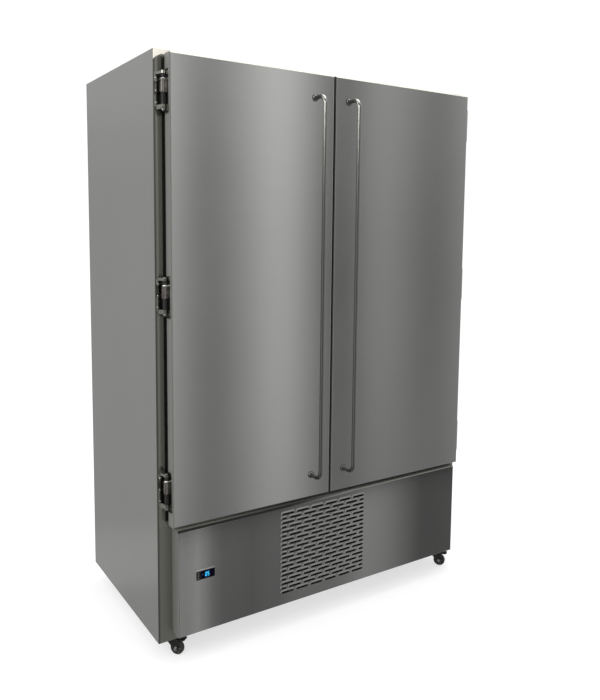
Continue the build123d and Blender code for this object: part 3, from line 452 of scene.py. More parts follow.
def lofted(bm, sections, matrix, closed=False):
    # sections of (outline, height along the matrix's Z)
    joinRings(bm, [[bm.verts.new(matrix @ Vector((x, y, height))) for x, y in outline]
                   for outline, height in sections], closed)


def prism(bm, outline, low, high, matrix):
    lofted(bm, [(outline, low), (outline, high)], matrix)


def turned(bm, profile, segments, matrix, closed=False):
    # profile of (radius, height), turned about the matrix's Z; a closed one is a ring
    rings = []
    for radius, height in profile:
        steps = segments if radius else 1
        angles = [2 * math.pi * step / steps for step in range(steps)]
        corners = [Vector((radius * math.cos(angle), radius * math.sin(angle), height)) for angle in angles]
        rings.append([bm.verts.new(matrix @ corner) for corner in corners])
    for first, second in zip(rings, rings[1:] + (rings[:1] if closed else [])):
        for step in range(segments):
            after = (step + 1) % segments
            corners = (first[step % len(first)], second[step % len(second)], second[after % len(second)],
                       first[after % len(first)])
            corners = list(dict.fromkeys(corners))
            if len(corners) > 2:
                bm.faces.new(corners)
    return rings


def arc(centreX, centreY, radius, start, stop, steps):
    angles = [math.radians(start + (stop - start) * step / steps) for step in range(steps + 1)]
    return [(centreX + radius * math.cos(angle), centreY + radius * math.sin(angle)) for angle in angles]


def hexagon(radius):
    return arc(0, 0, radius, 0, 300, 5)


def roundedOutline(halfX, halfY, radius, steps=5):
    points = []
    for signX, signY, start in ((1, 1, 0), (-1, 1, 90), (-1, -1, 180), (1, -1, 270)):
        points += arc(signX * (halfX - radius), signY * (halfY - radius), radius, start, start + 90, steps)
    return points


def softBlock(bm, low, high, radius, segments=3):
    # a block with all its edges rounded
    low, high = Vector(low), Vector(high)
    spot = Matrix.Translation((low + high) / 2) @ Matrix.Diagonal((*(high - low), 1))
    made = set(bmesh.ops.create_cube(bm, size=1.0, matrix=spot)["verts"])
    edges = [edge for edge in bm.edges if edge.verts[0] in made]
    bmesh.ops.bevel(bm, geom=edges, offset=radius, segments=segments, affect="EDGES", profile=0.5)


def breakEdges(bm, width, keepApart):
    sharp = [edge for edge in bm.edges if edge.calc_face_angle(0) > math.radians(50)]
    bmesh.ops.bevel(bm, geom=sharp, offset=width, segments=2, affect="EDGES", clamp_overlap=keepApart)


def bendPath(corners, radius, steps):
    # straight runs joined by round bends
    corners = [Vector(corner) for corner in corners]
    points = corners[:1]
    for before, corner, after in zip(corners, corners[1:], corners[2:]):
        toBefore, toAfter = (before - corner).normalized(), (after - corner).normalized()
        centre = corner + (toBefore + toAfter) * radius
        for step in range(steps + 1):
            turn = math.pi / 2 * step / steps
            points.append(centre - (toAfter * math.cos(turn) + toBefore * math.sin(turn)) * radius)
    return points + corners[-1:]


def tube(bm, points, radius, segments):
    # round tube along points that stay in one plane
    side = None
    rings = []
    for number, point in enumerate(points):
        along = (points[min(number + 1, len(points) - 1)] - points[max(number - 1, 0)]).normalized()
        if side is None:
            side = Vector((1, 0, 0)) if abs(along.x) < 0.9 else Vector((0, 1, 0))
        side = (side - along * side.dot(along)).normalized()
        other = along.cross(side)
        rings.append([bm.verts.new(point + side * x + other * y)
                      for x, y in arc(0, 0, radius, 0, 360 - 360 / segments, segments - 1)])
    joinRings(bm, rings, False)


screwHead = {
    "dome": ((1, 0), (1, 0.35), (0.86, 0.78), (0.62, 1)),  # shares of its radius and height
    "arms": (0.8, 0.2),  # reach and half width, as shares of the flat top
    "recess": (0.8, 0.35),  # its floor, as shares of the cross and of the height
}


def crossScrew(bm, origin, outward, radius, height):
    # domed screw head with a cross recess
    s = screwHead
    matrix = basis(origin, outward)
    profile = [(radius * out, height * up) for out, up in s["dome"]]
    rings = turned(bm, profile, 24, matrix)
    bm.faces.new(rings[0])
    arm, half = (profile[-1][0] * share for share in s["arms"])
    taper, floor = s["recess"]
    cross = [(arm, -half), (arm, half), (half, half), (half, arm), (-half, arm), (-half, half), (-arm, half),
             (-arm, -half), (-half, -half), (-half, -arm), (half, -arm), (half, -half)]
    top = [bm.verts.new(matrix @ Vector((x, y, height))) for x, y in cross]
    low = [bm.verts.new(matrix @ Vector((x * taper, y * taper, height * floor))) for x, y in cross]
    bm.faces.new(low)
    for step in range(len(cross)):
        after = (step + 1) % len(cross)
        bm.faces.new((low[step], low[after], top[after], top[step]))
    rim = [bm.edges.get((first, second)) for ring in (top, rings[-1])
           for first, second in zip(ring, ring[1:] + ring[:1])]
    bmesh.ops.triangle_fill(bm, edges=rim, use_beauty=True)


def paint(look, *names):
    for name in names:
        for spot in nodes[name].material_slots:
            spot.material = finish[look]


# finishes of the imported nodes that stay

paint("door", "left_door_skin", "right_door_skin")
paint("body", "side_panel_left", "side_panel_right")
paint("top", "top_panel")
paint("fascia", "fascia_panel")
paint("inside", "inner_liner", "centre_mullion", "deck_panel", "left_door_inner_panel",
      "right_door_inner_panel", "evaporator_unit")
paint("zinc", "back_panel", "base_frame")
paint("foam", *[name for name in nodes if "insulation" in name])
paint("shelf", *[name for name in nodes if name.startswith("shelf_")])
paint("compressor", "compressor")
paint("fins", "condenser_unit")
paint("fan", "condenser_fan", "evaporator_fan")
paint("nylon", "cable_gland")
paint("gasket", "left_door_gasket", "right_door_gasket")
print("packed nodes painted")


# handles; profiles here and below are (radius, height)

handleShape = lengths({
    "tube": 8,
    "bend": 30,
    "flange": 12,
    "foot": ((0, 0), (12, 0), (12, 2.2), (11.28, 3.6), (10.56, 4), (9, 4), (9, 6.1), (7.92, 7), (0, 7)),
    # black rings under the feet: painted shade for the dark reflection and shadow round each foot
    "washer": ((11.16, 0), (13.3, 0), (13.3, 2.1), (12.7, 3), (11.16, 3)),
})


def buildHandle(hand):
    s = handleShape
    low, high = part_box(hand + "_door_handle")
    x = (low.x + high.x) / 2
    bottom, top = low.z + s["flange"], high.z - s["flange"]
    front, back = low.y + s["tube"], high.y
    bm, shadeRings = bmesh.new(), bmesh.new()
    path = bendPath([(x, back, bottom), (x, front, bottom), (x, front, top), (x, back, top)], s["bend"], 14)
    tube(bm, path, s["tube"], 40)
    for z in (bottom, top):
        seat = basis((x, back, z), forward)
        turned(bm, s["foot"], 48, seat)
        turned(shadeRings, s["washer"], 48, seat, True)
    # the black rings at the feet are painted shade
    put(hand + "_handle_shade_rings", shadeRings, "gasket", hand + "_door", "handle_tube")
    made = put(hand + "_handle", bm, "handle", hand + "_door", "handle_tube", hand + "_door_handle")
    made.visible_glossy = False


for hand in hands:
    buildHandle(hand)
print("handles built")


# hinges; heights are from the middle of each

hingeShape = lengths({
    "plate": ((-7, -44), (4, -64), (10, -64), (20, -46), (20, 60), (16, 64), (-3, 64), (-7, 60)),
    "plateThickness": 3,
    "lugs": ((55, 63.5), (-56, -42)),
    "lugRoot": (-6, 14),
    "eye": 7.6,
    "housingHalf": 9.3,
    "housingCorner": 3,
    "housing": ((0.8, -4, -2), (0, -2, 29), (1.1, 29, 32), (0, 32, 38)),
    "cap": ((9.114, 38), (8.835, 39.6), (7.254, 41.6), (4.65, 43), (4, 43), (4, 38)),
    "leaf": (17, 70, 9),
    "leafThickness": 3,
    "screw": (4.2, 1.5),
    "screwInset": 13.5,
    "screwHeights": (42.24, 2.56, -35.84),
    "head": ((0, 62), (6.3, 63.5), (6.3, 64.6), (5.4, 66), (3.2, 66.8), (0, 67)),
    "shank": ((0, -64), (3.4, -64), (4, -63), (4, 62), (0, 62)),
    "pin": 4,
    "bush": (6.16, 7),
    "bushEase": 0.9,
    "bushSpan": (-41.7, -4.3),
    "collar": ((4, 44), (6.4, 44), (6.4, 54.5), (4, 54.5)),
    "below": ((5.472, -60), (6.08, -59), (6.08, -57), (5.472, -56), (4, -56), (4, -60)),
    "brokenEdge": 0.6,
}) | {"bushRings": 4, "armWaist": ((-0.9, 0.55), (1.1, 0.5))}


def hingeLevels(hand):
    low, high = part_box(hand + "_hinge_door_leaves")
    half = hingeShape["leaf"][1]
    return (low.z + half, (low.z + high.z) / 2, high.z - half)


def framePlate(bm, spot, side):
    # plate on the stile with an eased top and a pointed foot, and an arm with an eye near each end
    s = hingeShape
    outline = [(u, z * side) for u, z in s["plate"]]
    prism(bm, outline, 0, s["plateThickness"], basis(spot, forward, (side, 0, 0)))
    reach = joints["left_door_hinge"]["pos_m"][1] - spot[1]
    inner, outer = [(share * s["eye"], along * reach) for share, along in s["armWaist"]]
    arm = [(s["lugRoot"][0], -s["plateThickness"]), inner, *arc(0, reach, s["eye"], 200, 340, 16), outer,
           (s["lugRoot"][1], -s["plateThickness"])]
    for low, high in s["lugs"]:
        prism(bm, [(u * side, v) for u, v in arm], low, high, Matrix.Translation(spot))


def bushProfile():
    # a nylon bush with a groove between its rings
    s = hingeShape
    low, high = s["bushSpan"]
    groove, crest = s["bush"]
    step = (high - low) / s["bushRings"]
    profile = [(s["pin"], low)]
    for number in range(s["bushRings"]):
        start = low + number * step
        profile += [(groove, start), (crest, start + s["bushEase"]), (crest, start + step - s["bushEase"]),
                    (groove, start + step)]
    return profile + [(s["pin"], high)]


def buildHinges(hand):
    s = hingeShape
    side = hands[hand]
    axis = joints[hand + "_door_hinge"]["pos_m"]
    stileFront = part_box(hand + "_hinge_frame_leaves")[1].y
    doorLow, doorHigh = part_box(hand + "_door_skin")
    doorEdge = doorLow.x if side < 0 else doorHigh.x
    plates, housings, caps, leaves, screws, pins, bushes = (bmesh.new() for number in range(7))
    for z in hingeLevels(hand):
        framePlate(plates, Vector((axis[0], stileFront, z)), side)
        base = basis((axis[0], axis[1], z), (0, 0, 1))
        for inset, start, stop in s["housing"]:
            half = s["housingHalf"] - inset
            prism(housings, roundedOutline(half, half, s["housingCorner"] - inset, 4), start, stop, base)
        turned(caps, s["cap"], 40, base, True)
        face = basis((doorEdge, (doorLow.y + doorHigh.y) / 2, z), (side, 0, 0), (0, 1, 0))
        prism(leaves, roundedOutline(*s["leaf"]), 0, s["leafThickness"], face)
        for height in s["screwHeights"]:
            spot = (axis[0] + side * s["screwInset"], stileFront - s["plateThickness"], z + height)
            crossScrew(screws, spot, forward, *s["screw"])
        turned(pins, s["head"], 40, base)
        turned(pins, s["shank"], 32, base)
        turned(bushes, bushProfile(), 40, base, True)
        turned(bushes, s["collar"], 36, base, True)
        turned(caps, s["below"], 36, base, True)
    for bm in (plates, housings, leaves):
        breakEdges(bm, s["brokenEdge"], True)
    name = hand + "_hinge_"
    put(name + "plates", plates, "hinge", "cabinet", "hinge_metal", name + "frame_leaves")
    put(name + "housings", housings, "hingeCover", hand + "_door", "hinge_metal", name + "door_leaves")
    # the caps in the lighter copy of the hinge chrome: painted highlight
    put(name + "caps", caps, "hingePaintedHighlight", hand + "_door", "hinge_metal")
    put(name + "leaves", leaves, "hinge", hand + "_door", "hinge_metal")
    put(name + "screws", screws, "screw", "cabinet", "hinge_metal")
    put(name + "pin_rods", pins, "pin", "cabinet", "hinge_pin", name + "pins")
    put(name + "bushes", bushes, "nylon", "cabinet", "hinge_pin")


for hand in hands:
    buildHinges(hand)
print("hinges built")


# painted light on the top end of each stile: a thin cream plate whose slanted lower edge is a painted shadow
# line from the door's top corner

stileLightShape = lengths({
    "edge": ((0, 0), (0, -34), (10, -24.48), (26, -15.4)),  # inwards and up from the outer corner
    "innerDrop": 14,
    "thickness": 0.5,
})


def buildStileLight(hand):
    s = stileLightShape
    side = hands[hand]
    low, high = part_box("side_panel_" + hand)
    outer, inner = (low.x, high.x) if side < 0 else (high.x, low.x)
    outline = [(outer - side * inwards, high.z + up) for inwards, up in s["edge"]]
    outline += [(inner, high.z - s["innerDrop"]), (inner, high.z)]
    bm = bmesh.new()
    prism(bm, outline, -low.y, s["thickness"] - low.y, basis((0, 0, 0), forward, (1, 0, 0)))
    # the cream plate is painted light; its slanted lower edge is a painted shadow line
    put(hand + "_painted_stile_light", bm, "corner", "cabinet", "stainless_body")


for hand in hands:
    buildStileLight(hand)
print("painted stile light built")


# gaskets: a bellows profile of (inwards, back) swept round each door with mitred corners

gasketShape = lengths({
    "profile": ((0, 0), (0, 2.94), (2.88, 4.41), (2.88, 6.174), (0, 7.644), (0, 12.054), (1.08, 13.818),
                (2.88, 14.7), (15.12, 14.7), (16.92, 13.818), (18, 12.054), (18, 7.644), (15.12, 6.174),
                (15.12, 4.41), (18, 2.94), (18, 0)),
})


def buildGasket(hand):
    low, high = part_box(hand + "_door_gasket")
    bm = bmesh.new()
    rings = []
    for x, z, signX, signZ in ((low.x, low.z, 1, 1), (high.x, low.z, -1, 1), (high.x, high.z, -1, -1),
                               (low.x, high.z, 1, -1)):
        rings.append([bm.verts.new((x + signX * inwards, low.y + back, z + signZ * inwards))
                      for inwards, back in gasketShape["profile"]])
    joinRings(bm, rings, True)
    put(hand + "_gasket", bm, "gasket", hand + "_door", "gasket_rubber", hand + "_door_gasket", angle=50)


for hand in hands:
    buildGasket(hand)
print("gaskets built")


# castors

castorShape = lengths({
    "wheel": 25,
    "trail": 27,
    "tyre": ((4.05, 10), (9.2, 10), (10, 9.4), (10.8, 7.4), (17.5, 7.4), (18.5, 7.8), (19.125, 9.1),
             (20, 9.8), (21.75, 9.5), (23.5, 8.4), (24.625, 6.6), (24.95, 4.6), (25, 1.8)),
    "hubFace": 7.45,
    "spoke": ((9.8, -1.3), (18, -0.9), (18, 0.9), (9.8, 1.3)),
    "spokeRise": 1.5,
    "hubCap": ((4.1, 2.2), (7, 2.2), (8.5, 2.45), (9.4, 2.2), (9.4, 0.4), (4.1, 0.4)),
    "cheek": (11.5, 14),
    "cheekFront": 36,
    "cheekBack": 14,
    "cheekLow": 55.7,
    "cheekCorner": 1.4,
    "eye": 9,
    "crown": (58.2, 60.7),
    "race": 20,
    "brokenEdge": 0.5,
    "washer": ((0, 0), (6.4, 0), (6.4, 0.5), (6, 0.8), (0, 0.8)),
    "nut": 5.6,
    "nutSpan": (0.8, 3.4),
    "stub": ((0, 3.4), (3, 3.4), (2.6, 3.9), (0, 3.9)),
    "shaft": ((0, -14), (4, -14), (4, 14), (0, 14)),
    "plate": (30, 30, 6),
    "plateSpan": (67, 70),
    "raceProfile": ((0, 67), (20, 67), (20, 64.8), (19.2, 64), (20, 63.2), (19.7, 61.6), (18, 61), (0, 61)),
    "kingpin": ((0, 61), (4.5, 61), (4.5, 57.9), (7.2, 57.9), (7.5, 57.3), (6.6, 55.9), (0, 55.9)),
    "bolt": (5, 2.4),
    "boltInset": 22,
    "lever": ((-4, -11, -2), (20, 11, 2), 0.8),
    "pad": (7.75, 14, 4),
    "padAhead": 23.25,
    "padSpan": (-2, 1),
    "rib": ((17.4, -11.5, 0.6), (18.7, 11.5, 2)),
    "ribPitch": (2.7, 0, 0),
    "ribEdge": 0.4,
    "leverPin": ((0, -14), (2.5, -14), (2.5, 14), (0, 14)),
}) | {"spokes": 6, "ribs": 5, "leverTilt": -14}


def castorPlace(end, hand):
    pivot = Vector(joints[f"swivel_joint_{end}_{hand}"]["pos_m"])
    hub = Vector(joints[f"axle_joint_{end}_{hand}"]["pos_m"])
    heading = math.atan2(hub.y - pivot.y, hub.x - pivot.x)
    return Matrix.Translation((pivot.x, pivot.y, 0)) @ Matrix.Rotation(heading, 4, "Z")


def onAxle(stand, out=0.0, side=1):
    # seat on the wheel's axis, so far out to one side
    s = castorShape
    return stand @ basis((s["trail"], side * out, s["wheel"]), (0, side, 0))


def buildWheel(end, hand):
    s = castorShape
    stand = castorPlace(end, hand)
    tyre, hub = bmesh.new(), bmesh.new()
    profile = [*s["tyre"], *[(radius, -height) for radius, height in reversed(s["tyre"])]]
    turned(tyre, profile, 64, onAxle(stand), True)
    for side in (1, -1):
        face = onAxle(stand, s["hubFace"], side)
        for number in range(s["spokes"]):
            prism(hub, s["spoke"], 0, s["spokeRise"], face @ spin(360 / s["spokes"] * number))
        turned(hub, s["hubCap"], 40, face, True)
    place = f"{end}_{hand}"
    put("castor_tyre_" + place, tyre, "tyre", "wheel_" + place, "castor_tyre", "castor_wheel_" + place,
        angle=40)
    put("castor_hub_" + place, hub, "hub", "wheel_" + place, "castor_tyre", angle=30)


def cheekOutline():
    # side view of a fork cheek in (along, up): tangent lines from the crown to the eye
    s = castorShape
    front, back, corner = s["cheekFront"], -s["cheekBack"], s["cheekCorner"]
    eye = (s["trail"], s["wheel"])
    top = s["crown"][1] - corner

    def touch(x, side):
        away = Vector((x - eye[0], s["cheekLow"] - eye[1]))
        return math.degrees(math.atan2(away.y, away.x) + side * math.acos(s["eye"] / away.length))
    return [(front, s["cheekLow"]), *arc(front - corner, top, corner, 0, 90, 3),
            *arc(back + corner, top, corner, 90, 180, 3), (back, s["cheekLow"]),
            *arc(*eye, s["eye"], touch(back, 1), touch(front, -1) + 360, 18)]


def buildFork(end, hand):
    s = castorShape
    stand = castorPlace(end, hand)
    inner, outer = s["cheek"]
    legs, axle = bmesh.new(), bmesh.new()
    crown = [(s["trail"], -outer), (s["trail"], outer), *arc(0, 0, s["race"], 60, 300, 26)]
    prism(legs, crown, *s["crown"], stand)
    plane = stand @ basis((0, 0, 0), forward, (1, 0, 0))
    for low, high in ((-outer, -inner), (inner, outer)):
        prism(legs, cheekOutline(), low, high, plane)
    breakEdges(legs, s["brokenEdge"], False)
    for side in (1, -1):
        face = onAxle(stand, outer, side)
        turned(axle, s["washer"], 36, face)
        prism(axle, hexagon(s["nut"]), *s["nutSpan"], face)
        turned(axle, s["stub"], 24, face)
    turned(axle, s["shaft"], 24, onAxle(stand))
    place = f"{end}_{hand}"
    put("castor_legs_" + place, legs, "castor", "swivel_" + place, "castor_steel", "castor_fork_" + place,
        angle=40)
    put("castor_axle_" + place, axle, "screw", "swivel_" + place, "castor_steel", angle=30)


def buildPlates():
    s = castorShape
    bm, bolts = bmesh.new(), bmesh.new()
    for end, hand in wheelPlaces:
        pivot = Vector(joints[f"swivel_joint_{end}_{hand}"]["pos_m"])
        spot = Matrix.Translation((pivot.x, pivot.y, 0))
        prism(bm, roundedOutline(*s["plate"]), *s["plateSpan"], spot)
        turned(bm, s["raceProfile"], 56, spot)
        turned(bm, s["kingpin"], 36, spot)
        for x in (-s["boltInset"], s["boltInset"]):
            for y in (-s["boltInset"], s["boltInset"]):
                crossScrew(bolts, (pivot.x + x, pivot.y + y, s["plateSpan"][0]), (0, 0, -1), *s["bolt"])
    put("castor_mounts", bm, "castor", "cabinet", "castor_steel", "castor_plates")
    put("castor_mount_screws", bolts, "screw", "cabinet", "castor_steel")


def buildPedal(hand):
    # foot lever with a ribbed pad
    s = castorShape
    seat = Matrix.Translation(joints[f"brake_joint_front_{hand}"]["pos_m"])
    seat = seat @ castorPlace("front", hand).to_3x3().to_4x4()
    bm = bmesh.new()
    softBlock(bm, *s["lever"])
    prism(bm, [(x + s["padAhead"], y) for x, y in roundedOutline(*s["pad"])], *s["padSpan"], upright)
    for number in range(s["ribs"]):
        ahead = number * Vector(s["ribPitch"])
        softBlock(bm, *[Vector(corner) + ahead for corner in s["rib"]], s["ribEdge"], 2)
    bm.transform(seat @ spin(s["leverTilt"], "Y"))
    turned(bm, s["leverPin"], 24, seat @ basis((0, 0, 0), (0, 1, 0)))
    put("brake_pedal_" + hand, bm, "pedal", "brake_front_" + hand, "pedal_plastic",
        "castor_brake_front_" + hand)


for end, hand in wheelPlaces:
    buildWheel(end, hand)
    buildFork(end, hand)
buildPlates()
for hand in hands:
    buildPedal(hand)
print("castors built")


# controller; steps are (inwards, out from the front)

controllerShape = lengths({
    "corner": 3,
    "leastCorner": 0.6,
    "collar": ((0, -9), (0, -2), (0.25, -1), (0.9, -0.4), (1.2, -0.6), (1.2, -9)),
    "dish": ((1.2, -9), (1.2, -0.3), (1.5, -0.05), (1.9, -0.05), (2.2, -0.6), (2.5, -1.2), (2.5, -9)),
    "floorInset": 2.5,
    "floorDepth": -1.6,
    "case": (35, 14),
    "caseEdge": 1,
    "strip": (-1.3, -0.6),
    "stripInset": 2.2,
    "stripGap": 0.5,
    "window": ((0, -1.4), (0, -0.7), (0.4, -0.45), (1.2, -0.4)),
    "windowCorner": 1.6,
    "glow": (-0.42, -0.25),
    "digit": (7.4, 17.5, 2.8),
    "digitPitch": 8.9,
    "digitShift": -1.2,
    "symbol": (-19, 1),
    "symbolArm": ((-2.6, -0.4), (2.6, -0.4), (2.6, 0.4), (-2.6, 0.4)),
    "symbolStep": 0.01,
    "key": ((0, -1), (0.2, -0.45), (0.7, -0.1), (1.4, -0.12), (2.2, -0.25)),
    "keyCorner": (1.2, 0.4),
    "mark": 1.1,
    "markSpan": (-0.3, -0.12),
}) | {"slant": 0.1, "barGap": 0.12, "triangle": (0.6, 0.8), "dot": 0.7}
barsOf = {"0": "abcdef", "5": "afgcd"}


def barOutline(name, width, height, stroke):
    # one bar of a seven-bar digit, pointed at both ends, centred on (0, 0)
    gap, t = stroke * controllerShape["barGap"], stroke / 2
    level = {"a": height / 2 - t, "g": 0.0, "d": t - height / 2}
    if name in level:
        y, half = level[name], width / 2 - t - gap
        return [(-half, y), (-half + t, y + t), (half - t, y + t), (half, y), (half - t, y - t),
                (-half + t, y - t)]
    x = (width / 2 - t) * (1 if name in "bc" else -1)
    low, high = (gap, height / 2 - t - gap) if name in "bf" else (t + gap - height / 2, -gap)
    return [(x, low), (x + t, low + t), (x + t, high - t), (x, high), (x - t, high - t), (x - t, low + t)]


def buildController():
    s = controllerShape
    low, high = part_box("controller_body")
    windowLow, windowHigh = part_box("controller_display")
    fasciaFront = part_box("fascia_panel")[0].y
    mid, half = (low + high) / 2, (high - low) / 2
    facing = basis((mid.x, low.y, mid.z), forward, (1, 0, 0))
    thick = fasciaFront - low.y
    # rim: nested rounded rectangles from the fascia round the front and down to the face plate
    collar, dish = bmesh.new(), bmesh.new()
    for bm, steps in ((collar, s["collar"]), (dish, s["dish"])):
        sections = []
        for inset, depth in steps:
            corner = max(s["leastCorner"], s["corner"] - inset)
            sections.append((roundedOutline(half.x - inset, half.z - inset, corner, 6), max(depth, -thick)))
        lofted(bm, sections, facing, True)
    put("controller_collar", collar, "bezel", "cabinet", "controller_plastic", angle=40)
    floor = roundedOutline(half.x - s["floorInset"], half.z - s["floorInset"], s["leastCorner"], 6)
    prism(dish, floor, -thick, s["floorDepth"], facing)
    caseX, caseZ = s["case"]
    softBlock(dish, (mid.x - caseX, fasciaFront, mid.z - caseZ), (mid.x + caseX, high.y, mid.z + caseZ),
              s["caseEdge"])
    put("controller_case", dish, "facePlate", "cabinet", "controller_plastic", "controller_body", angle=40)
    # dark strip that carries the keys
    bm = bmesh.new()
    left, right = low.x + s["stripInset"] - mid.x, windowLow.x - s["stripGap"] - mid.x
    edge = half.z - s["stripInset"]
    prism(bm, [(left, -edge), (right, -edge), (right, edge), (left, edge)], *s["strip"], facing)
    put("controller_key_strip", bm, "facePlate", "cabinet", "controller_plastic", angle=40)
    # smoked window with a bevelled edge, and lit digits just in front of it
    bm = bmesh.new()
    halfX, halfZ = (windowHigh.x - windowLow.x) / 2, (windowHigh.z - windowLow.z) / 2
    middle = Vector(((windowLow.x + windowHigh.x) / 2, low.y, (windowLow.z + windowHigh.z) / 2))
    lofted(bm, [(roundedOutline(halfX - inset, halfZ - inset, s["windowCorner"]), depth)
                for inset, depth in s["window"]], basis(middle, forward, (1, 0, 0)))
    put("controller_window", bm, "window", "cabinet", "display_window", "controller_display", angle=40)
    bm = bmesh.new()
    for number, digit in enumerate("05"):
        shift = Vector((s["digitShift"] + s["digitPitch"] * (number - 0.5), 0, 0))
        for name in barsOf[digit]:
            outline = [(x + y * s["slant"], y) for x, y in barOutline(name, *s["digit"])]
            prism(bm, outline, *s["glow"], basis(middle + shift, forward, (1, 0, 0)))
    put("controller_digits", bm, "digits", "cabinet", "display_window", angle=40)
    bm = bmesh.new()
    flake = basis(middle + Vector((s["symbol"][0], 0, s["symbol"][1])), forward, (1, 0, 0))
    for number in range(3):
        front = s["glow"][1] + number * s["symbolStep"]
        prism(bm, s["symbolArm"], s["glow"][0], front, flake @ spin(60 * number))
    put("controller_symbol", bm, "symbol", "cabinet", "display_window", angle=40)


def buildKey(name):
    s = controllerShape
    low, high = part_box(name)
    mid, half = (low + high) / 2, (high - low) / 2
    facing = basis((mid.x, low.y, mid.z), forward, (1, 0, 0))
    widest, least = s["keyCorner"]
    bm = bmesh.new()
    lofted(bm, [(roundedOutline(half.x - inset, half.z - inset, max(least, widest - inset / 2)), depth)
                for inset, depth in ((0, low.y - high.y), *s["key"])], facing)
    put(name + "_cap", bm, "key", name + "_button", "key_plastic", name, angle=40)
    bm = bmesh.new()
    size = s["mark"]
    foot, tip = s["triangle"]
    point = {"key_up": size, "key_down": -size}.get(name)
    if point:
        mark = [(-size, -point * foot), (size, -point * foot), (0, point * tip)]
    else:
        mark = arc(0, 0, size * s["dot"], 0, 340, 17)
    prism(bm, mark, *s["markSpan"], facing)
    put(name + "_mark", bm, "keyMark", name + "_button", "key_plastic", angle=40)


buildController()
for name in ("key_down", "key_set", "key_up"):
    buildKey(name)
print("controller built")


# hoods pressed out over the slots of the grille, and a near-black lining in each slot that spreads below it:
# painted shade
# their profiles are (outwards, height)

grilleShape = lengths({
    "centre": (-42, 303.5),
    "slot": (51, 6),
    "pitch": (66, 17),
    "hood": ((0, -0.9), (0, 1.7), (0.4, 2.2), (1.3, 2.3), (3.4, 1.6), (5.8, 0.45), (7, -0.15), (3, -0.3)),
    # edge: the slot's lining, in painted shade
    "edge": ((-0.25, -1.3), (-0.25, 2), (0.1, 2.35), (0.35, 2.3), (0.45, -0.1), (0.2, -0.2)),
    "swellsFrom": 0.25,
    "lipWidth": 1.7,
}) | {"columns": 6, "rows": 19, "lowest": 0.3}
slotTurns = [(1, angle) for angle in range(-90, 91, 12)] + [(-1, angle) for angle in range(90, 271, 12)]


def slotRings(bm, facing, spot, limit, profile, lip):
    # one closed ring round a slot; it stands high over the top of the slot and low under it
    s = grilleShape
    halfX, halfZ = s["slot"][0] / 2, s["slot"][1] / 2
    middle = s["centre"][0]
    rings = []
    for out, height in profile:
        swells = out > s["swellsFrom"]
        ring = []
        for side, angle in slotTurns:
            cos, sin = math.cos(math.radians(angle)), math.sin(math.radians(angle))
            lift = s["lowest"] + (1 - s["lowest"]) * (1 + sin) / 2
            grow = out * lift if swells and not lip else out
            if swells and lip:
                grow += s["lipWidth"] * (1 - sin) / 2
            reach = halfZ + grow
            x = spot[0] + side * (halfX - halfZ) + reach * cos
            x = min(max(x, middle - limit - grow), middle + limit + grow)
            rise = height * lift if height > 0 else height
            ring.append(bm.verts.new(facing @ Vector((x, spot[1] + reach * sin, rise))))
        rings.append(ring)
    joinRings(bm, rings, True)


def buildGrille():
    s = grilleShape
    facing = basis((0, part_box("fascia_panel")[0].y, 0), forward, (1, 0, 0))
    limit = ((s["columns"] - 1) * s["pitch"][0] + s["slot"][0]) / 2
    hoods, edges = bmesh.new(), bmesh.new()
    for row in range(s["rows"]):
        z = s["centre"][1] + (row - (s["rows"] - 1) / 2) * s["pitch"][1]
        odd = row % 2
        for column in range(s["columns"] + odd):
            x = s["centre"][0] + (column - 0.5 * odd - (s["columns"] - 1) / 2) * s["pitch"][0]
            slotRings(hoods, facing, (x, z), limit, s["hood"], False)
            # the lining is painted shade
            slotRings(edges, facing, (x, z), limit, s["edge"], True)
    put("grille_hoods", hoods, "hood", "cabinet", "stainless_fascia", angle=50)
    put("grille_slot_shade", edges, "paintedSlotShade", "cabinet", "stainless_fascia", angle=50)


buildGrille()
print("grille hoods built")


# fans

fanShape = lengths({
    "halfDepth": 11.5,
    "sheet": 1.6,
    "shaft": 4.1,
}) | {
    "blades": 5,
    "rimShare": 0.99,
    "hubShare": 0.28,
    # shares of its radius and half depth
    "hubProfile": ((0.94, -1), (1, -0.9), (1, 0.62), (0.94, 0.84), (0.7, 1)),
    "rootShare": 0.96,
    "pitch": (40.0, 22.0),  # at the root and at the tip
    "chord": (0.3, 0.5),
    "deepest": 0.92,
    "sweep": 0.16,
    "bow": 0.12,
    "grid": (9, 7),
}
guardShapes = {
    "evaporator": lengths({"radius": 72, "inner": 14, "wire": 1.1, "gap": 1.6}) | {"rings": 9, "spokes": 4},
    "condenser": lengths({"radius": 131, "inner": 44, "wire": 1, "gap": 2.6}) | {"rings": 9, "spokes": 8},
}


def between(ends, share):
    return ends[0] + (ends[1] - ends[0]) * share


def bladeSheet(bm, turn, radius, hub, side):
    # one face of a twisted blade whose leading edge sweeps forward
    s = fanShape
    spans, chords = s["grid"]
    depth = s["halfDepth"]
    sheet = []
    for i in range(spans + 1):
        share = i / spans
        reach = between((hub * s["rootShare"], radius), share)
        pitch = math.radians(between(s["pitch"], share))
        half = min(radius * between(s["chord"], share) / 2, depth * s["deepest"] / math.sin(pitch))
        row = []
        for j in range(chords + 1):
            across = 2 * j / chords - 1
            angle = half * across * math.cos(pitch) / reach + s["sweep"] * share
            bow = s["bow"] * half * (1 - across ** 2)
            height = half * across * math.sin(pitch) + bow + side * s["sheet"] / 2
            height = min(max(height, -depth), depth)
            corner = Vector((reach * math.cos(angle), reach * math.sin(angle), height))
            row.append(bm.verts.new(turn @ corner))
        sheet.append(row)
    for i in range(spans):
        for j in range(chords):
            bm.faces.new((sheet[i][j], sheet[i + 1][j], sheet[i + 1][j + 1], sheet[i][j + 1]))
    return sheet


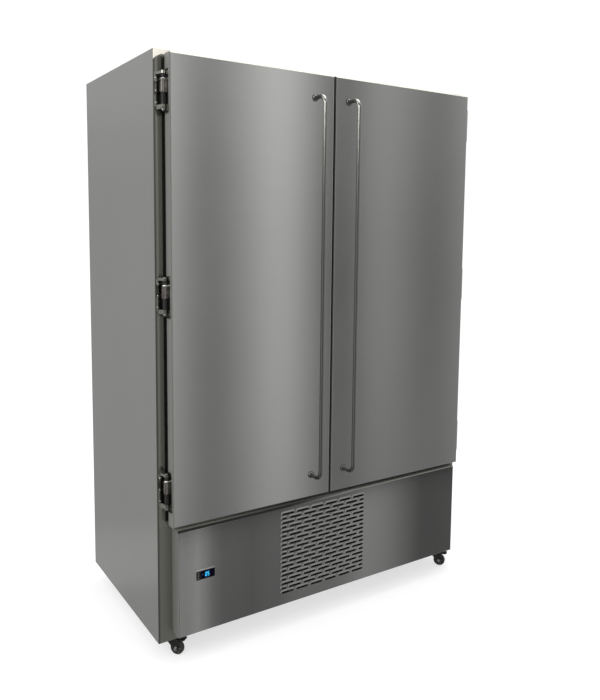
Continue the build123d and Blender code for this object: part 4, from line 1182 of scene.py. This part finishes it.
def buildFan(node):
    s = fanShape
    low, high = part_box(node)
    radius = (high.x - low.x) / 2 * s["rimShare"]
    hub = radius * s["hubShare"]
    depth = s["halfDepth"]
    axis = basis((low + high) / 2, forward, (1, 0, 0))
    bm = bmesh.new()
    outside = [(hub * out, depth * up) for out, up in s["hubProfile"]]
    turned(bm, [(s["shaft"], -depth), *outside, (s["shaft"], depth)], 48, axis, True)
    spans, chords = s["grid"]
    rim = [(i, 0) for i in range(spans)] + [(spans, j) for j in range(chords)]
    rim += [(i, chords) for i in range(spans, 0, -1)] + [(0, j) for j in range(chords, 0, -1)]
    for number in range(s["blades"]):
        turn = axis @ spin(360 / s["blades"] * number)
        upper, lower = (bladeSheet(bm, turn, radius, hub, side) for side in (1, -1))
        for (i, j), (k, l) in zip(rim, rim[1:] + rim[:1]):
            bm.faces.new((upper[i][j], upper[k][l], lower[k][l], lower[i][j]))
    put(node + "_wheel", bm, "fan", node + "_rotor", "fan_plastic", node, angle=40)


def buildGuard(unit, y):
    # concentric wires held by straight spokes
    s = guardShapes[unit]
    low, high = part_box(unit + "_fan")
    axis = basis(((low.x + high.x) / 2, y, (low.z + high.z) / 2), forward, (1, 0, 0))
    bm = bmesh.new()
    for number in range(s["rings"]):
        reach = between((s["inner"], s["radius"]), number / (s["rings"] - 1))
        turned(bm, [(reach + x, y) for x, y in hexagon(s["wire"])], 64, axis, True)
    wire, inner, outer = s["wire"], s["inner"], s["radius"] + 3 * s["wire"]
    for number in range(s["spokes"]):
        arm = axis @ spin(360 / s["spokes"] * (number + 0.5)) @ basis((0, 0, 0), (1, 0, 0))
        turned(bm, [(0, inner), (wire, inner), (wire, outer), (0, outer)], 8, arm)
    put(unit + "_guard", bm, "screw", "cabinet", "galvanised", angle=40)


buildFan("condenser_fan")
buildFan("evaporator_fan")
unitLow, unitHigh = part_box("evaporator_unit")
buildGuard("evaporator", unitLow.y - guardShapes["evaporator"]["gap"])
buildGuard("condenser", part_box("condenser_fan")[1].y + guardShapes["condenser"]["gap"])
print("fans built")


# closer fins and return bends on both coils

coilShape = lengths({
    "pitch": 26,
    "sheet": 0.4,
    "rise": 6.6,
    "shy": 1,
    "endGap": 1.5,
    "bendTube": 4,
    "bendPitch": 25,
    "bendOut": 2,
    "condenserDepth": 50,
    "evaporatorHalf": 260,
    "evaporatorDepth": 80,
    "evaporatorHeight": 140,
}) | {"between": 5, "bendSteps": 12}


def buildCoil(name, lowCorner, highCorner, slotName):
    s = coilShape
    x0, y0, z0 = lowCorner
    x1, y1, z1 = highCorner
    fins, bends = bmesh.new(), bmesh.new()
    parts = s["between"] + 1
    count = int((x1 - x0 - s["endGap"]) / s["pitch"])
    half = s["sheet"] / 2
    for number in range(count * parts + 1):
        if number % parts:
            x = (x0 + x1) / 2 + (number / parts - count / 2) * s["pitch"]
            outline = [(x - half, y0), (x + half, y0), (x + half, y0 + s["rise"]), (x - half, y0 + s["rise"])]
            prism(fins, outline, z0 + s["shy"], z1 - s["shy"], upright)
    put(name + "_fins", fins, "fins", "cabinet", slotName, angle=30)
    y, step = (y0 + y1) / 2, s["bendPitch"]
    for side, x, start in ((-1, x0, 0.5), (1, x1, 1.5)):
        for row in range(int((z1 - z0) / step) // 2):
            low = z0 + (2 * row + start) * step
            if low + step > z1:
                continue
            bow = arc(0, low + step / 2, step / 2, -90, 90, s["bendSteps"])
            points = [Vector((x + side * (s["bendOut"] + out), y, z)) for out, z in bow]
            tube(bends, [Vector((x, y, low)), *points, Vector((x, y, low + step))], s["bendTube"], 14)
    put(name + "_bends", bends, "copper", "cabinet", slotName, angle=40)


def buildCoils():
    s = coilShape
    low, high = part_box("condenser_unit")
    buildCoil("condenser", low, (high.x, low.y + s["condenserDepth"], high.z), "galvanised")
    half = s["evaporatorHalf"]
    low = (-half, unitHigh.y - s["evaporatorDepth"], unitHigh.z - s["evaporatorHeight"])
    buildCoil("evaporator", low, (half, unitHigh.y, unitHigh.z), "stainless_inside")


buildCoils()
print("coils built")


# compressor

compressorShape = lengths({
    "shell": 85,
    "dome": 45,
    "foot": 12,
    "top": 162,
    "seam": ((85, 80), (86.2, 81), (86.2, 86), (85.3, 87), (86.2, 88), (86.2, 93), (85, 94)),
    "plate": (100, 60, 12),
    "plateSpan": (4, 7),
    "box": ((-28, -99, 57), (28, -73, 120)),
    "boxEdge": 4,
    "grommets": (84, 44),
    "grommet": ((0, 0), (12, 0), (12, 4), (8, 5), (8, 6.5), (12, 7), (10.8, 10), (0, 10)),
    "stubHeights": (60, 48, 100),
    "stubReach": 82.45,
    "stub": ((0, 0), (5, 0), (5, 14), (3.5, 16), (0, 16)),
}) | {"stubAngles": (200, 235, 250)}


def buildCompressor():
    s = compressorShape
    low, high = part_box("compressor")
    origin = Vector(((low.x + high.x) / 2, (low.y + high.y) / 2, low.z))
    base = Matrix.Translation(origin)
    bm, grommets, stubs = bmesh.new(), bmesh.new(), bmesh.new()
    dome, foot, top = s["dome"], s["foot"], s["top"]
    inset = s["shell"] - dome
    turned(bm, [(0, foot), *arc(inset, foot + dome, dome, -90, 0, 10), *s["seam"],
                *arc(inset, top - dome, dome, 0, 90, 10)[:-1], (0, top)], 72, base)
    prism(bm, roundedOutline(*s["plate"]), *s["plateSpan"], base)
    softBlock(bm, *[origin + Vector(corner) for corner in s["box"]], s["boxEdge"])
    for signX in (-1, 1):
        for signY in (-1, 1):
            spot = base @ Matrix.Translation((signX * s["grommets"][0], signY * s["grommets"][1], 0))
            turned(grommets, s["grommet"], 28, spot)
    for angle, height in zip(s["stubAngles"], s["stubHeights"]):
        out = Vector((math.cos(math.radians(angle)), math.sin(math.radians(angle)), 0))
        start = origin + out * s["stubReach"] + Vector((0, 0, height))
        turned(stubs, s["stub"], 24, basis(start, out))
    put("compressor_shell", bm, "compressor", "cabinet", "compressor_paint", "compressor")
    put("compressor_grommets", grommets, "nylon", "cabinet", "compressor_paint")
    put("compressor_stubs", stubs, "copper", "cabinet", "compressor_paint")


buildCompressor()
print("compressor built")


# screws of the back sheet and the cooling unit's cover

screwShape = lengths({
    "screw": (3.6, 1.4),
    "inset": 9,
    "coverX": 285,
    "coverBelow": 60,
    "coverAbove": 30,
}) | {"columns": 7, "rows": 10}


def buildScrews():
    s = screwShape
    low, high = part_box("back_panel")
    left, right = low.x + s["inset"], high.x - s["inset"]
    bottom, top = low.z + s["inset"], high.z - s["inset"]
    bm = bmesh.new()
    spots = [(between((left, right), number / (s["columns"] - 1)), z)
             for number in range(s["columns"]) for z in (bottom, top)]
    spots += [(x, between((bottom, top), number / s["rows"]))
              for number in range(1, s["rows"]) for x in (left, right)]
    for x, z in spots:
        crossScrew(bm, (x, high.y, z), (0, 1, 0), *s["screw"])
    for x in (-s["coverX"], s["coverX"]):
        for z in (unitLow.z + s["coverBelow"], unitHigh.z - s["coverAbove"]):
            crossScrew(bm, (x, unitLow.y, z), forward, *s["screw"])
    put("sheet_screws", bm, "screw", "cabinet", "galvanised")


buildScrews()
print("screws built")


# floor, light and camera

white = (1, 1, 1, 1)


def buildFloor():
    made, tree, shader = newMaterial("studio_floor")
    feed(tree, shader, {
        "Base Color": shade(tree, noiseAt(tree, even, 3.0, 2.0, 0.5), 0.42, 0.43),
        "Emission Color": white,
        "Emission Strength": 0.62,
        "Roughness": 0.9,
        "Specular IOR Level": 0.1,
    })
    bm = bmesh.new()
    bmesh.ops.create_grid(bm, x_segments=12, y_segments=12, size=30.0)
    floor = objectFrom("studio_floor", bm, made, None)
    floor.visible_glossy = False


roomShape = {
    # radiance round the room, by degrees from straight ahead of the doors towards +X
    "bands": [(-90, 0.42), (-70, 0.34), (-55, 0.3), (-44, 0.24), (-35, 0.12), (-12, 0.12), (4, 0.24),
              (16, 0.44), (22.6, 0.54), (24.6, 0.18), (26.4, 0.18), (29.0, 0.42), (31.6, 0.72),
              (33.4, 0.42), (35.2, 0.14), (36.8, 0.08), (38.8, 0.42), (40.4, 0.33), (42.6, 0.2),
              (44.3, 0.1), (46.0, 0.36), (52, 0.5), (64, 0.4), (82, 0.5), (104, 1.0), (124, 0.6),
              (160, 0.35), (190, 0.36), (230, 0.42), (252, 0.43)],
    # its factor by height, from straight down at -1 to straight up at 1
    "heights": [(-1.0, 0.4), (-0.6, 0.58), (-0.5, 0.68), (-0.42, 0.76), (-0.33, 0.84), (-0.2, 0.94),
                (0.0, 1.0), (0.15, 1.24), (0.5, 1.6), (1.0, 2.2)],
    # the same behind the cabinet, which its side walls mirror, and where that part of the room is
    "sideHeights": [(-1.0, 0.7), (-0.6, 0.76), (-0.462, 0.78), (-0.452, 1.04), (-0.405, 1.04), (-0.385, 0.86),
                    (-0.25, 0.89), (-0.1, 0.915), (0.05, 0.93), (0.125, 1.03), (0.16, 1.13), (0.22, 1.19),
                    (0.5, 1.4), (1.0, 2.2)],
    "sideShare": [(-100, 1.0), (-90, 0.0), (110, 0.0), (140, 1.0), (250, 1.0)],
    "brightest": 2.2,
    "even": 1.06,
}


def buildRoom():
    s = roomShape
    world = bpy.data.worlds.new("studio")
    bpy.context.scene.world = world
    world.use_nodes = True
    tree = world.node_tree
    tree.nodes.clear()
    where = coordinate(tree, "Generated")
    around = newNode(tree, "TexGradient", {"Vector": where}, gradient_type="RADIAL").outputs["Fac"]
    rise = newNode(tree, "SeparateXYZ", {"Vector": where}).outputs["Z"]
    rise = spread(tree, rise, 0, 1, -1, 1)
    bands, share = (levelRamp(tree, around, [((0.25 + angle / 360) % 1.0, level) for angle, level in s[name]])
                    for name in ("bands", "sideShare"))
    front, back = (levelRamp(tree, rise, [((z + 1) / 2, level / s["brightest"]) for z, level in s[name]])
                   for name in ("heights", "sideHeights"))
    seen = product(tree, bands, newNode(tree, "Mix", {0: share, 2: front, 3: back}).outputs[0])
    mirrored = newNode(tree, "Background", {"Color": white, "Strength": product(tree, seen, s["brightest"])})
    plain = newNode(tree, "Background", {"Color": white, "Strength": s["even"]})
    glossy = newNode(tree, "LightPath", {}).outputs["Is Glossy Ray"]
    mixer = newNode(tree, "MixShader", {"Fac": glossy, 1: plain.outputs[0], 2: mirrored.outputs[0]})
    newNode(tree, "OutputWorld", {"Surface": mixer.outputs["Shader"]})


softLights = {
    "key_softbox": {"size": (2.4, 1.6), "power": 60, "location": (-3.6, -2.2, 3.4), "target": (0, 0, 1.1)},
    "top_softbox": {"size": (3.0, 2.0), "power": 50, "location": (0.4, -0.2, 4.2), "target": (0, 0, 0)},
}


def softLight(name, look):
    light = bpy.data.lights.new(name, "AREA")
    light.shape = "RECTANGLE"
    light.size, light.size_y = look["size"]
    light.energy = look["power"]
    lamp = bpy.data.objects.new(name, light)
    bpy.context.scene.collection.objects.link(lamp)
    lamp.location = look["location"]
    lamp.rotation_euler = (Vector(look["target"]) - lamp.location).to_track_quat("-Z", "Y").to_euler()


# place, turn and lens of the photograph
cameraShape = {
    "location": (-1.5757, -2.5442, 1.524),
    "yaw": 33.198,
    "pitch": 5.725,
    "roll": 0.602,
    "focal": 712.09,
    "centre": (303.36, 298.23),
    "image": (600, 700),
    "sensor": 36.0,
    "clip": (0.05, 200),
}


def buildCamera():
    s = cameraShape
    yaw, pitch, roll = (math.radians(s[name]) for name in ("yaw", "pitch", "roll"))
    ahead = Vector((math.sin(yaw), math.cos(yaw), 0))
    right = Vector((math.cos(yaw), -math.sin(yaw), 0))
    up = Vector((0, 0, 1))
    ahead, up = ahead * math.cos(pitch) - up * math.sin(pitch), up * math.cos(pitch) + ahead * math.sin(pitch)
    right, up = right * math.cos(roll) + up * math.sin(roll), up * math.cos(roll) - right * math.sin(roll)
    data = bpy.data.cameras.new("photo_camera")
    camera = bpy.data.objects.new("photo_camera", data)
    bpy.context.scene.collection.objects.link(camera)
    matrix = Matrix((right, up, -ahead)).transposed().to_4x4()
    matrix.translation = Vector(s["location"])
    camera.matrix_world = matrix
    width, height = s["image"]
    longSide = max(width, height)
    data.sensor_width = s["sensor"]
    data.lens = s["focal"] * s["sensor"] / longSide
    data.shift_x = (width / 2 - s["centre"][0]) / longSide
    data.shift_y = (s["centre"][1] - height / 2) / longSide
    data.clip_start, data.clip_end = s["clip"]
    bpy.context.scene.camera = camera


buildFloor()
buildRoom()
for name, look in softLights.items():
    softLight(name, look)
buildCamera()
bpy.context.scene.view_settings.view_transform = "Standard"
print("floor, light and camera set")
